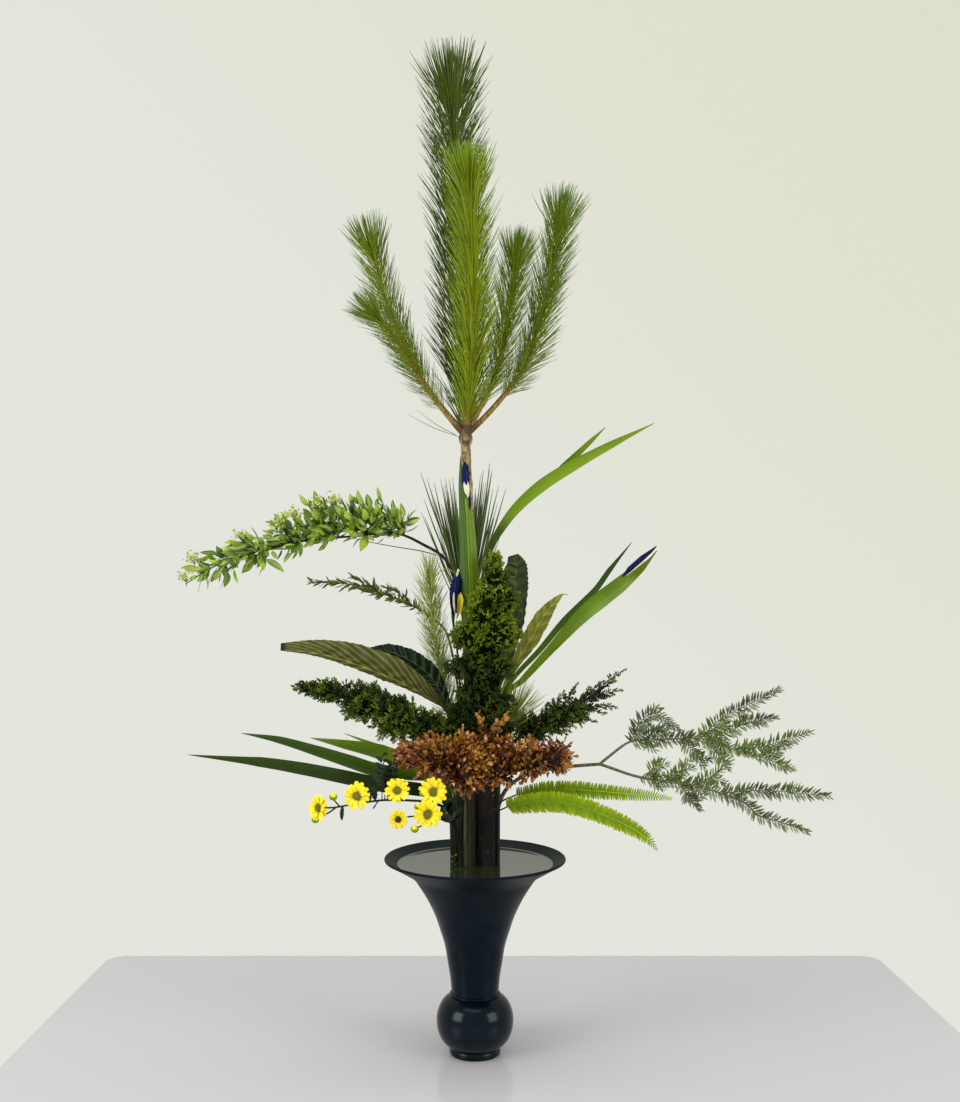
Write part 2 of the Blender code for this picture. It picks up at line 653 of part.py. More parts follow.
# Juniper: a scalloped column in front of the pine trunk and a cloud to each side
def juniper(look):
    centre = Piece(
        "juniper_center", look,
        firm=[Tube([stemFoot(-0.45, -0.9), (-0.45, -0.95, 34.0), (0.0, -2.2, 39.0), (0.9, -4.4, 43.5),
                    (1.3, -4.9, 50.0), (1.6, -4.9, 57.0)], [0.48, 0.48, 0.45, 0.45, 0.36, 0.25], sides=2)],
        soft=[Clump((1.4, -5.0, 44.2), (4.4, 2.5, 2.7)), Clump((-2.4, -5.2, 43.4), (2.2, 2.1, 2.0)),
              Clump((-0.3, -5.0, 52.0), (3.4, 2.1, 1.9)), Clump((1.2, -5.0, 56.0), (4.5, 2.3, 2.6)),
              Clump((2.0, -4.9, 60.0), (3.4, 2.2, 3.0)), Clump((2.6, -4.7, 63.6), (1.5, 1.4, 2.1))],
    )
    left = Piece(
        "juniper_left", look,
        firm=[Tube([stemFoot(-2.0, -0.5), (-2.0, -0.5, 35.0), (-2.7, -2.0, 39.3), (-4.4, -4.6, 42.0),
                    (-8.2, -6.6, 44.4), (-13.3, -7.8, 46.4), (-18.0, -8.3, 48.2)],
                   [0.3, 0.3, 0.3, 0.28, 0.26, 0.22, 0.18])],
        soft=[Clump((-6.2, -5.7, 43.6), (2.6, 2.3, 2.2)), Clump((-10.0, -7.2, 45.4), (3.0, 2.3, 2.7)),
              Clump((-14.4, -8.0, 47.1), (3.0, 2.2, 2.6)), Clump((-18.8, -8.5, 48.5), (2.6, 1.8, 1.7)),
              Clump((-21.3, -8.7, 48.9), (1.7, 1.1, 0.9))],
    )
    right = Piece(
        "juniper_right", look,
        firm=[Tube([stemFoot(3.0, 1.35), (3.1, 1.3, 35.0), (4.2, 0.5, 39.8), (7.2, -0.8, 42.7),
                    (11.1, -2.0, 44.8), (15.0, -3.0, 47.3), (17.5, -3.6, 49.0)],
                   [0.3, 0.3, 0.3, 0.28, 0.25, 0.22, 0.18])],
        soft=[Clump((7.7, -1.0, 42.9), (2.6, 2.1, 1.9)), Clump((11.2, -2.1, 44.8), (2.8, 2.2, 2.3)),
              Clump((14.6, -3.0, 45.8), (2.8, 2.2, 2.6)), Clump((17.6, -3.6, 48.4), (2.2, 1.7, 2.2))],
    )
    return [centre, left, right]


# Reddish small-leaved boxwood, low in front of the stems
def boxwood(look):
    fork = (-1.0, -4.2, 34.6)
    centre = Tube([stemFoot(-1.15, -2.3), (-1.15, -2.4, 31.5), fork, (-1.4, -7.0, 37.2),
                   (-4.2, -8.4, 39.5)], [0.33, 0.33, 0.3, 0.25, 0.18])
    side = Tube([fork, (1.8, -6.3, 36.8), (6.0, -7.3, 38.6), (9.8, -7.0, 39.4)], [0.26, 0.24, 0.2, 0.16])
    masses = [
        Clump((-1.0, -8.0, 40.0), (3.8, 3.0, 4.1)), Clump((-5.4, -8.3, 40.7), (3.0, 2.5, 3.0)),
        Clump((-8.5, -8.8, 40.7), (2.0, 1.6, 1.7)), Clump((4.6, -7.5, 40.4), (2.9, 2.3, 2.5)),
        Clump((8.8, -7.0, 40.2), (2.7, 1.9, 2.1)), Clump((11.4, -6.6, 40.3), (1.5, 1.3, 1.3)),
    ]
    return Piece("boxwood", look, firm=[centre, side], soft=masses)


# Spirea: a long arching branch to the left with leaf clusters and small blossom
def spirea(look):
    branch = Tube(
        [stemFoot(-0.6, 2.2), (-0.8, 2.6, 45.0), (-1.6, 3.3, 59.0), (-3.9, 3.2, 65.2),
         (-6.7, 2.5, 67.2), (-10.6, 1.0, 68.8), (-16.5, -0.5, 68.3), (-22.9, -1.5, 67.6),
         (-29.3, -2.5, 66.0), (-33.8, -3.2, 64.3), (-37.4, -4.0, 62.0)],
        [0.24, 0.22, 0.22, 0.2, 0.2, 0.18, 0.16, 0.14, 0.12, 0.1, 0.08],
    )
    sprout = Tube([(-11.6, 0.7, 69.5), (-12.7, 0.5, 73.2), (-12.1, 0.5, 75.4)], [0.16, 0.3, 0.14])
    masses = [
        Clump((-11.0, 0.8, 70.0), (2.8, 1.7, 2.2)), Clump((-15.5, -0.4, 70.4), (3.0, 1.8, 2.9)),
        Clump((-20.0, -1.2, 69.9), (3.0, 1.8, 3.1)), Clump((-24.5, -1.8, 68.2), (3.0, 1.7, 2.6)),
        Clump((-29.0, -2.5, 66.2), (3.2, 1.6, 2.2)), Clump((-33.4, -3.2, 64.5), (2.6, 1.4, 1.8)),
        Clump((-36.2, -3.8, 62.9), (1.7, 1.1, 1.1)),
    ]
    return Piece("spirea_branch", look, firm=[branch, sprout], soft=masses)


def darkSprig(look):
    route = [(-5.6, 3.8, 57.3), (-8.8, 3.8, 59.3), (-12.7, 3.8, 60.8), (-16.9, 3.8, 62.0),
             (-22.3, 3.8, 62.3)]
    stem = Tube([stemFoot(-1.4, 2.5), (-1.6, 2.9, 40.0), (-2.6, 3.6, 50.0), (-3.8, 3.8, 55.3)] + route,
                [0.18, 0.17, 0.15, 0.14, 0.13, 0.12, 0.1, 0.1, 0.08])
    leaves = Tube(route, [0.25, 0.6, 0.75, 1.0, 0.3], sides=1, squash=0.7, steps=1)
    return Piece("dark_sprig", look, firm=[stem], soft=[leaves])


# The streaming branch: it leaves low on the right, forks, and carries narrow-leaved sprays
def streamingBranch(look):
    fork = (16.2, -3.0, 38.6)
    lower = [fork, (21.2, -5.0, 37.2), (28.4, -7.5, 36.4), (33.75, -9.0, 34.6), (35.2, -9.5, 33.2),
             (37.9, -10.0, 32.4), (40.8, -11.0, 31.5)]
    upper = [fork, (18.8, -3.5, 40.8), (20.3, -4.0, 41.7), (28.9, -5.0, 42.2), (31.3, -5.5, 41.4),
             (36.3, -6.0, 39.9)]
    stem = [stemFoot(2.7, 2.3), (2.8, 2.3, 30.0), (4.0, 2.1, 34.2), (7.2, 0.8, 36.8),
            (11.8, -1.5, 38.0), fork]
    sprays = [
        [(20.2, -4.0, 41.7), (23.3, -4.0, 45.3), (26.3, -4.0, 43.2)],
        [(28.9, -5.0, 42.2), (34.6, -5.5, 46.4), (38.7, -6.0, 48.5)],
        [(30.5, -5.3, 41.9), (34.6, -5.7, 44.2), (38.2, -6.0, 45.0)],
        [(34.4, -5.8, 40.4), (39.5, -6.5, 42.2), (42.4, -7.0, 43.2)],
        [(36.2, -6.0, 40.0), (38.0, -6.2, 39.4), (39.6, -6.3, 38.4)],
        [(29.5, -5.1, 42.1), (31.2, -5.2, 40.0), (32.4, -5.5, 38.5)],
        [(31.0, -8.3, 35.7), (36.0, -9.6, 36.3), (43.6, -10.5, 35.8)],
        [(22.4, -5.5, 37.0), (22.6, -5.8, 38.4), (23.4, -6.0, 39.4)],
        [(27.6, -7.2, 36.5), (29.6, -7.5, 37.6), (31.2, -7.6, 38.8)],
        [(26.0, -6.7, 36.7), (27.2, -7.0, 35.0), (28.2, -7.4, 33.7)],
    ]
    firm = [
        Tube(stem, [0.3, 0.3, 0.28, 0.26, 0.25, 0.24]),
        Tube(lower, [0.24, 0.22, 0.2, 0.18, 0.16, 0.3, 0.16]),
        Tube(upper, [0.22, 0.2, 0.18, 0.16, 0.3, 0.2]),
    ]
    for spray in sprays:
        firm.append(Tube(spray, [0.12, 0.5, 0.16], sides=1, squash=0.9, steps=1))
    return Piece("streaming_branch", look, firm=firm)


# Spray chrysanthemums low on the left: two stems, six heads, five buds
def chrysanthemums(looks):
    heads = {
        "chrysanthemum_1": Head((-18.9, -13.0, 34.7), (-1.0, -0.35, 0.1), 1.6),
        "chrysanthemum_2": Head((-14.4, -12.2, 36.0), (-0.1, -1.0, 0.25), 1.7),
        "chrysanthemum_3": Head((-9.6, -11.0, 36.5), (0.0, -1.0, 0.45), 1.5),
        "chrysanthemum_4": Head((-5.2, -10.4, 36.2), (0.1, -1.0, 0.3), 1.7),
        "chrysanthemum_5": Head((-5.8, -12.2, 33.8), (0.1, -1.0, 0.05), 1.7),
        "chrysanthemum_6": Head((-9.4, -12.0, 33.2), (-0.1, -1.0, -0.1), 1.2),
    }
    first = [stemFoot(-2.5, -1.5), (-2.5, -1.6, 28.5), (-3.2, -3.6, 32.4), (-6.0, -6.6, 34.3),
             (-11.2, -9.2, 35.0), (-14.5, -10.6, 34.8), (-17.2, -12.1, 34.6)]
    second = [stemFoot(-1.9, -2.2), (-1.9, -2.3, 27.5), (-2.6, -4.4, 30.8), (-4.0, -8.0, 32.3),
              (-5.4, -10.6, 33.3)]
    firstParts = [
        Tube(first + [heads["chrysanthemum_1"].back()], [0.2, 0.2, 0.19, 0.17, 0.15, 0.13, 0.12, 0.12]),
        Tube([(-13.8, -10.3, 34.85), (-14.3, -11.0, 35.4), heads["chrysanthemum_2"].back()],
             [0.11, 0.11, 0.12]),
        Tube([(-9.0, -8.2, 34.75), (-9.5, -9.4, 35.5), heads["chrysanthemum_3"].back()],
             [0.11, 0.11, 0.12]),
        Tube([(-4.8, -5.4, 33.7), (-5.2, -8.2, 35.0), heads["chrysanthemum_4"].back()],
             [0.12, 0.12, 0.12]),
        Tube([(-16.6, -11.8, 34.65), (-17.0, -12.4, 35.3), (-17.3, -12.6, 35.9)], [0.1, 0.12, 0.4]),
        Tube([(-17.0, -12.0, 34.6), (-18.0, -12.0, 33.6), (-19.4, -12.1, 33.0)], [0.1, 0.12, 0.4]),
    ]
    secondParts = [
        Tube(second + [heads["chrysanthemum_5"].back()], [0.2, 0.2, 0.18, 0.16, 0.13, 0.12]),
        Tube([(-4.3, -8.6, 32.5), (-7.2, -10.4, 32.7), heads["chrysanthemum_6"].back()],
             [0.12, 0.11, 0.12]),
        Tube([(-5.2, -9.2, 32.6), (-6.3, -10.6, 32.2), (-7.3, -11.6, 32.0)], [0.1, 0.11, 0.38]),
    ]
    made = [
        Piece("chrysanthemum_stem_upper", looks["stalk"], firm=firstParts),
        Piece("chrysanthemum_stem_lower", looks["stalk"], firm=secondParts),
    ]
    for name, head in heads.items():
        made.append(Piece(name, looks["petal"], firm=[head]))
    return made


def ferns(look):
    upper = Blade(
        [stemFoot(2.2, -2.0), (2.25, -2.05, 30.0), (3.0, -2.4, 33.2), (5.5, -3.1, 34.7),
         (8.5, -3.6, 35.3), (11.0, -4.0, 35.5), (13.5, -4.5, 35.5), (16.0, -5.0, 35.4),
         (19.2, -5.6, 35.2), (22.3, -6.0, 35.0), (24.9, -6.5, 34.7)],
        [0.15, 0.15, 0.2, 0.7, 0.95, 1.0, 0.95, 0.9, 0.75, 0.5, 0.08],
        [0.3, 0.3, 0.26, 0.22, 0.2, 0.18, 0.16, 0.16, 0.14, 0.12, 0.06], (0, -0.5, 1), tooth=0.7,
    )
    lower = Blade(
        [stemFoot(1.2, -2.3), (1.25, -2.4, 28.5), (2.2, -3.2, 31.9), (4.2, -4.3, 33.3),
         (8.3, -6.0, 34.2), (12.0, -7.5, 34.2), (15.6, -9.0, 33.3), (19.2, -10.5, 31.9),
         (21.3, -11.5, 30.6), (22.2, -12.0, 29.5)],
        [0.15, 0.15, 0.2, 0.8, 1.1, 1.15, 1.1, 0.9, 0.6, 0.08],
        [0.3, 0.3, 0.26, 0.22, 0.2, 0.18, 0.16, 0.14, 0.12, 0.06], (0, -0.6, 1), tooth=0.7,
    )
    return [Piece("fern_upper", look, firm=[upper]), Piece("fern_lower", look, firm=[lower])]


clearScene()
home = bpy.data.collections.new("ikebana_arrangement")
bpy.context.scene.collection.children.link(home)

bronze = material("bronze", (0.02, 0.035, 0.05), 0.3, 0.85)
waterLook = material("water", (0.22, 0.24, 0.19), 0.08)
straw = material("straw", (0.55, 0.43, 0.22), 0.8)
cord = material("cord", (0.2, 0.16, 0.1), 0.8)
bark = material("bark", (0.19, 0.13, 0.08), 0.9)
foliage = {
    "deep": material("needles_deep", (0.03, 0.12, 0.03), 0.55),
    "mid": material("needles_mid", (0.09, 0.22, 0.03), 0.55),
    "bright": material("needles_bright", (0.3, 0.42, 0.06), 0.55),
    "silver": material("needles_silver", (0.35, 0.42, 0.2), 0.6),
    "leaf": material("iris_leaf", (0.12, 0.3, 0.05), 0.45),
    "iris": material("iris_flower", (0.12, 0.1, 0.5), 0.6),
    "loquat": material("loquat_leaf", (0.2, 0.22, 0.06), 0.5),
    "twig": material("twig", (0.15, 0.11, 0.06), 0.8),
    "petal": material("petal", (0.9, 0.7, 0.04), 0.6),
    "stalk": material("stalk", (0.04, 0.08, 0.03), 0.6),
}
juniperLook = material("juniper_scales", (0.1, 0.24, 0.04), 0.7)
boxwoodLook = material("boxwood_leaves", (0.32, 0.12, 0.04), 0.5)
spireaLook = material("spirea_leaves", (0.24, 0.38, 0.06), 0.55)
sprigLook = material("sprig_leaves", (0.03, 0.08, 0.04), 0.5)
streamLook = material("streaming_leaves", (0.22, 0.3, 0.2), 0.55)
fernLook = material("fern_fronds", (0.35, 0.5, 0.03), 0.55)

settle(
    [vase(bronze), bundleTie("bundle_tie_upper", 19.4, bundleHead, cord),
     bundleTie("bundle_tie_lower", 5.0, bundleWaist, cord),
     pineTrunk(bark), strawBundle(straw), water(waterLook)]
    + pineNeedles(foliage) + lesserPines(foliage)
    + irisCentre(foliage) + irisRight(foliage) + irisLeft(foliage) + loquat(foliage)
    + [boxwood(boxwoodLook)] + juniper(juniperLook)
    + [spirea(spireaLook), darkSprig(sprigLook), streamingBranch(streamLook)]
    + chrysanthemums(foliage) + ferns(fernLook),
    home,
)
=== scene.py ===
# Rikka flower arrangement in a turned bronze vase: its looks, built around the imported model
# Routes and sizes are written in centimetres and angles in degrees; finished meshes are in metres
# +X is to the right of the front view, -Y is towards the viewer, +Z is up
import math
import random

import bmesh
import bpy
from mathutils import Matrix, Vector, noise


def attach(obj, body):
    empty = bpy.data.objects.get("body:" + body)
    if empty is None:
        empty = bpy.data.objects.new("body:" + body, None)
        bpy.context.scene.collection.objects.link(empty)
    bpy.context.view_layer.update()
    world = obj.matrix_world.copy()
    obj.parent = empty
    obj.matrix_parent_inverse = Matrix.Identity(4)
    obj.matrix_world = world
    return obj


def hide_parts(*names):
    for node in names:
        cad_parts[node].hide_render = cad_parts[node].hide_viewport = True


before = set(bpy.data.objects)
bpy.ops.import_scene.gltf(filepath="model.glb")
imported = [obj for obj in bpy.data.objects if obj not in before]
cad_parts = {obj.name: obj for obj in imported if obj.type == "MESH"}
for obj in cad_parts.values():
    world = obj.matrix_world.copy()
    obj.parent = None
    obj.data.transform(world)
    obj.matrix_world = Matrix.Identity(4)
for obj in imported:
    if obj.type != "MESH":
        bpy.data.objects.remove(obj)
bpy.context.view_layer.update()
cm = 0.01
footHeight = 17.6  # every stem ends here, in the straw bundle
marks = ("along", "across", "tint", "upper")
goldenTurn = math.radians(137.5)
sharpEdge = math.radians(55)
sameSpot = 1e-6
eggSkin = 4.2  # times the products of an egg's radii this is about its surface
upwards = Vector((0, 0, 1))
stemShade = (0.38, 0.31)  # heights in metres between which stems are recoloured towards the water, mostly with painted shade
barkShade, lichenShade = (0.6, 0.42), (0.4, 0.34)  # heights in metres between which the pine's trunk is painted darker downwards, painted shade, and between which the pale flecks on it fade in
collarHeight = 0.824  # of the pine's dark ring under its twigs
bulbTop, trumpetPart = (0.082, 0.07), (0.17, 0.24)  # the vase's bulb has a clear coat, its trumpet is duller


# Colours are written as red, green and blue out of 255, on the screen's curve
def colour(red, green, blue):
    parts = [c / 255 for c in (red, green, blue)]
    return (*[((p + 0.055) / 1.055) ** 2.4 if p > 0.04 else p / 12.92 for p in parts], 1.0)


# A node socket that Python's operators work on: each adds its Math node
class Wire:
    def __init__(self, board, socket):
        self.board, self.socket = board, socket

    def maths(self, operation, *others):
        return self.board.node("ShaderNodeMath", dict(enumerate((self, *others))), operation=operation)

    def __add__(self, other):
        return self.maths("ADD", other)

    def __sub__(self, other):
        return self.maths("SUBTRACT", other)

    def __rsub__(self, other):
        return self.board.node("ShaderNodeMath", {0: other, 1: self}, operation="SUBTRACT")

    def __mul__(self, other):
        return self.maths("MULTIPLY", other)

    __radd__, __rmul__ = __add__, __mul__

    def size(self):
        return self.maths("ABSOLUTE")

    def sine(self):
        return self.maths("SINE")

    # 0 below low, 1 above high, smooth between them; low may be the larger one
    def between(self, low, high):
        values = {0: self, 1: low, 2: high}
        return self.board.node("ShaderNodeMapRange", values, interpolation_type="SMOOTHSTEP")


class Board:
    def __init__(self, tree):
        self.tree = tree

    def feed(self, socket, value):
        if isinstance(value, Wire):
            self.tree.links.new(value.socket, socket)
        else:
            socket.default_value = value

    def node(self, kind, values=None, output=0, **settings):
        made = self.tree.nodes.new(kind)
        for key, value in settings.items():
            setattr(made, key, value)
        for key, value in (values or {}).items():
            self.feed(made.inputs[key], value)
        return Wire(self, made.outputs[output]) if made.outputs else None


class Finish(Board):
    def __init__(self, name, **constants):
        self.material = bpy.data.materials.new(name)
        self.material.use_nodes = True
        super().__init__(self.material.node_tree)
        self.tree.nodes.clear()
        surface = self.node("ShaderNodeBsdfPrincipled", constants)
        self.shader = surface.socket.node
        self.node("ShaderNodeOutputMaterial", {"Surface": surface})

    def mark(self, name):
        return self.node("ShaderNodeAttribute", output="Fac", attribute_name=name)

    def place(self, axis):
        spot = self.node("ShaderNodeTexCoord", output="Object")
        return self.node("ShaderNodeSeparateXYZ", {0: spot}, output=axis)

    def noise(self, scale, detail=2.0, stretch=(1, 1, 1), roughness=0.5):
        spot = self.node("ShaderNodeTexCoord", output="Object")
        spot = self.node("ShaderNodeMapping", {"Vector": spot, "Scale": stretch})
        values = {"Vector": spot, "Scale": scale, "Detail": detail, "Roughness": roughness}
        return self.node("ShaderNodeTexNoise", values, output="Fac")

    def mix(self, factor, first, second):
        first, second = [colour(*c) if isinstance(c, tuple) else c for c in (first, second)]
        return self.node("ShaderNodeMix", {0: factor, 6: first, 7: second}, 2, data_type="RGBA")

    def paint(self, name, value):
        self.feed(self.shader.inputs[name], value)

    def bump(self, height, strength, distance=0.001):
        values = {"Height": height, "Strength": strength, "Distance": distance}
        self.paint("Normal", self.node("ShaderNodeBump", values))


# A smooth line through unevenly spaced points, with the values carried along it
def smoothRoute(points, values, steps):
    spots = [Vector(p) for p in points]
    last = len(spots) - 1
    lengths = [(b - a).length for a, b in zip(spots, spots[1:])]
    pulls = []
    for i in range(last + 1):
        way = (spots[min(i + 1, last)] - spots[max(i - 1, 0)]).normalized()
        pulls.append(way * min(lengths[max(i - 1, 0)], lengths[min(i, last - 1)]))
    line, carried = [], []
    for i in range(last):
        for k in range(steps):
            t = k / steps
            rise, leave, arrive = 3 * t**2 - 2 * t**3, t**3 - 2 * t**2 + t, t**3 - t**2
            spot = spots[i].lerp(spots[i + 1], rise)
            line.append(spot + pulls[i] * leave + pulls[i + 1] * arrive)
            carried.append([u + (v - u) * t for u, v in zip(values[i], values[i + 1])])
    return line + [spots[-1]], carried + [list(values[-1])]


def headings(line):
    last = len(line) - 1
    return [(line[min(i + 1, last)] - line[max(i - 1, 0)]).normalized() for i in range(last + 1)]


# Points, faces and marks of a piece in the making
class Form:
    def __init__(self, *finishes):
        self.points, self.faces, self.marks, self.looks = [], [], [], []
        self.finishes, self.look = finishes, 0

    # A closed skin over rings of equal count; alongs and acrosses are marks per ring and per point
    def skin(self, rings, alongs, acrosses, tint=0.5, uppers=None, caps=True):
        start, count = len(self.points), len(rings[0])
        for ring, along in zip(rings, alongs):
            for k, spot in enumerate(ring):
                self.points.append(spot)
                self.marks.append((along, acrosses[k], tint, uppers[k] if uppers else 1.0))
        made = []
        for i in range(len(rings) - 1):
            for k in range(count):
                a, b = start + i * count + k, start + i * count + (k + 1) % count
                made.append((a, b, b + count, a + count))
        if caps:
            end = start + (len(rings) - 1) * count
            made.append(tuple(reversed(range(start, start + count))))
            made.append(tuple(range(end, end + count)))
        self.faces += made
        self.looks += [self.look] * len(made)

    # A round stem; swell(along, angle, spot) gives its uneven skin
    def tube(self, route, radii, sides=8, steps=4, tint=0.5, swell=None):
        line, carried = smoothRoute(route, [[r] for r in radii], steps)
        ways = headings(line)
        side = ways[0].orthogonal().normalized()
        rings, last = [], len(line) - 1
        for i, (spot, way, (radius,)) in enumerate(zip(line, ways, carried)):
            side = (side - way * side.dot(way)).normalized()
            other = way.cross(side)
            ring = []
            for k in range(sides):
                angle = math.tau * k / sides
                reach = radius * (1 + swell(i / last, angle, spot)) if swell else radius
                ring.append(spot + (side * math.cos(angle) + other * math.sin(angle)) * reach)
            rings.append(ring)
        self.skin(rings, [i / last for i in range(last + 1)], [k / sides for k in range(sides)], tint)
        return line

    # A thin leaf: half widths along its route, a lens-shaped section, and lift(along, u) for folds and ribs
    def leaf(self, route, halves, across, thick=0.05, steps=4, columns=6, lift=None, edge=None, tint=0.5,
            twist=0.0):
        line, carried = smoothRoute(route, [[h] for h in halves], steps)
        ways, last, rings = headings(line), len(line) - 1, []
        across = Vector(across)
        us = [2 * j / columns - 1 for j in range(columns + 1)]
        for i, (spot, way, (half,)) in enumerate(zip(line, ways, carried)):
            t = i / last
            side = (across - way * across.dot(way)).normalized()
            if twist:
                side = Matrix.Rotation(twist * t, 3, way) @ side
            face = side.cross(way)
            half *= edge(t) if edge else 1.0
            upper, lower = [], []
            for u in us:
                mid = spot + side * (u * half) + face * ((lift(t, u) if lift else 0.0) * half)
                depth = face * (min(thick, half) * 0.5 * (1 - u * u))
                upper.append(mid + depth)
                lower.append(mid - depth)
            rings.append(upper + lower[-2:0:-1])
        uppers = [1.0] * (columns + 1) + [0.0] * (columns - 1)
        self.skin(rings, [i / last for i in range(last + 1)], us + us[-2:0:-1], tint, uppers)
        return line

    def ball(self, centre, radii, rings=6, sides=10, tint=0.5, swell=None, turn=None):
        loops = []
        for i in range(rings + 1):
            rise = math.pi * (0.02 + 0.96 * i / rings)
            loop = []
            for k in range(sides):
                angle = math.tau * k / sides
                way = Vector((math.sin(rise) * math.cos(angle), math.sin(rise) * math.sin(angle), -math.cos(rise)))
                spot = Vector([w * r for w, r in zip(way, radii)]) * (swell(way) if swell else 1.0)
                loop.append(Vector(centre) + (turn @ spot if turn else spot))
            loops.append(loop)
        self.skin(loops, [i / rings for i in range(rings + 1)], [k / sides for k in range(sides)], tint)

    # A copy of another form, moved by a matrix
    def add(self, other, matrix, tint=0.5):
        start = len(self.points)
        self.points += [matrix @ p for p in other.points]
        self.marks += [(a, c, tint, u) for a, c, _, u in other.marks]
        self.faces += [tuple(start + k for k in face) for face in other.faces]
        self.looks += [self.look] * len(other.faces)

    def mesh(self, name, scale=cm):
        made = bpy.data.meshes.new(name)
        made.from_pydata([p * scale for p in self.points], [], self.faces)
        for k, key in enumerate(marks):
            layer = made.attributes.new(key, "FLOAT", "POINT")
            layer.data.foreach_set("value", [m[k] for m in self.marks])
        made.polygons.foreach_set("material_index", self.looks)
        for finish in self.finishes:
            made.materials.append(finish.material)
        work = bmesh.new()
        work.from_mesh(made)
        bmesh.ops.recalc_face_normals(work, faces=work.faces)
        work.to_mesh(made)
        work.free()
        made.shade_smooth()
        made.set_sharp_from_angle(angle=sharpEdge)
        return made

    def item(self, name):
        return linked(name, self.mesh(name))

    # A shape of unit length along +Z, for the growing tree: its tint comes from where it grows
    def shape(self, name):
        made = self.mesh(name, 1.0)
        made.attributes.remove(made.attributes["tint"])
        return bpy.data.objects.new(name, made)


def linked(name, mesh):
    item = bpy.data.objects.new(name, mesh)
    bpy.context.scene.collection.objects.link(item)
    return item


def joined(name, *items):
    items = [i for i in items if i]
    if len(items) > 1:
        with bpy.context.temp_override(active_object=items[0], selected_editable_objects=items):
            bpy.ops.object.join()
    items[0].name = items[0].data.name = name
    return items[0]


# Every piece rides on the one body and stands for CAD nodes; its slot is not used
def settle(item, slot, *stands):
    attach(item, "root")
    if stands:
        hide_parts(*stands)
    print("made", item.name, len(item.data.polygons), "faces")


# The growing tree sets one shape along every route, spiralling round it and leaning out
growInputs = {
    "Routes": "Geometry", "Shape": "Object", "Finish": "Material", "Seed": "Int", "Spacing": "Float",
    "Turn": "Float", "Turn Jitter": "Float", "Phase": "Float", "Lean Jitter": "Float", "Roll": "Float",
    "Roll Jitter": "Float", "Size Jitter": "Float",
}


def growTree():
    tree = bpy.data.node_groups.new("growAlong", "GeometryNodeTree")
    keys = {}
    for name, kind in growInputs.items():
        made = tree.interface.new_socket(name, in_out="INPUT", socket_type="NodeSocket" + kind)
        keys[name] = made.identifier
    tree.interface.new_socket("Grown", in_out="OUTPUT", socket_type="NodeSocketGeometry")
    board = Board(tree)
    entry = board.node("NodeGroupInput").socket.node
    given = {name: Wire(board, entry.outputs[name]) for name in growInputs}

    def chance(step, low=-1.0, high=1.0):
        values = {2: low, 3: high, "Seed": given["Seed"] + step}
        return board.node("FunctionNodeRandomValue", values, 1, data_type="FLOAT")

    def turned(start, axis, angle):
        turn = board.node("FunctionNodeAxisAngleToRotation", {"Axis": axis, "Angle": angle})
        values = {"Rotation": start, "Rotate By": turn}
        return board.node("FunctionNodeRotateRotation", values, rotation_space="LOCAL")

    def named(name):
        return board.node("GeometryNodeInputNamedAttribute", {"Name": name}, data_type="FLOAT")

    curve = board.node("GeometryNodeMeshToCurve", {0: given["Routes"]})
    curve = board.node("GeometryNodeSetCurveNormal", {0: curve}, mode="Z_UP")
    points = board.node("GeometryNodeCurveToPoints", {0: curve, "Length": given["Spacing"]}, mode="LENGTH")
    start = Wire(board, points.socket.node.outputs["Rotation"])
    index = board.node("GeometryNodeInputIndex")
    turn = index * given["Turn"] + chance(1) * given["Turn Jitter"] + given["Phase"]
    way = turned(start, (0, 0, 1), turn)
    way = turned(way, (1, 0, 0), named("lean") + chance(2) * given["Lean Jitter"])
    way = turned(way, (0, 0, 1), given["Roll"] + chance(3) * given["Roll Jitter"])
    size = named("size") * (1.0 + chance(4) * given["Size Jitter"])
    shape = board.node("GeometryNodeObjectInfo", {0: given["Shape"]}, "Geometry")
    values = {"Points": points, "Instance": shape, "Rotation": way, "Scale": size}
    grown = board.node("GeometryNodeInstanceOnPoints", values)
    values = {0: grown, "Name": "tint", "Value": chance(5, 0, 1)}
    grown = board.node("GeometryNodeStoreNamedAttribute", values, data_type="FLOAT", domain="INSTANCE")
    grown = board.node("GeometryNodeRealizeInstances", {0: grown})
    grown = board.node("GeometryNodeSetMaterial", {0: grown, "Material": given["Finish"]})
    board.node("NodeGroupOutput", {0: grown})
    return tree, keys


growAlong, growKeys = growTree()


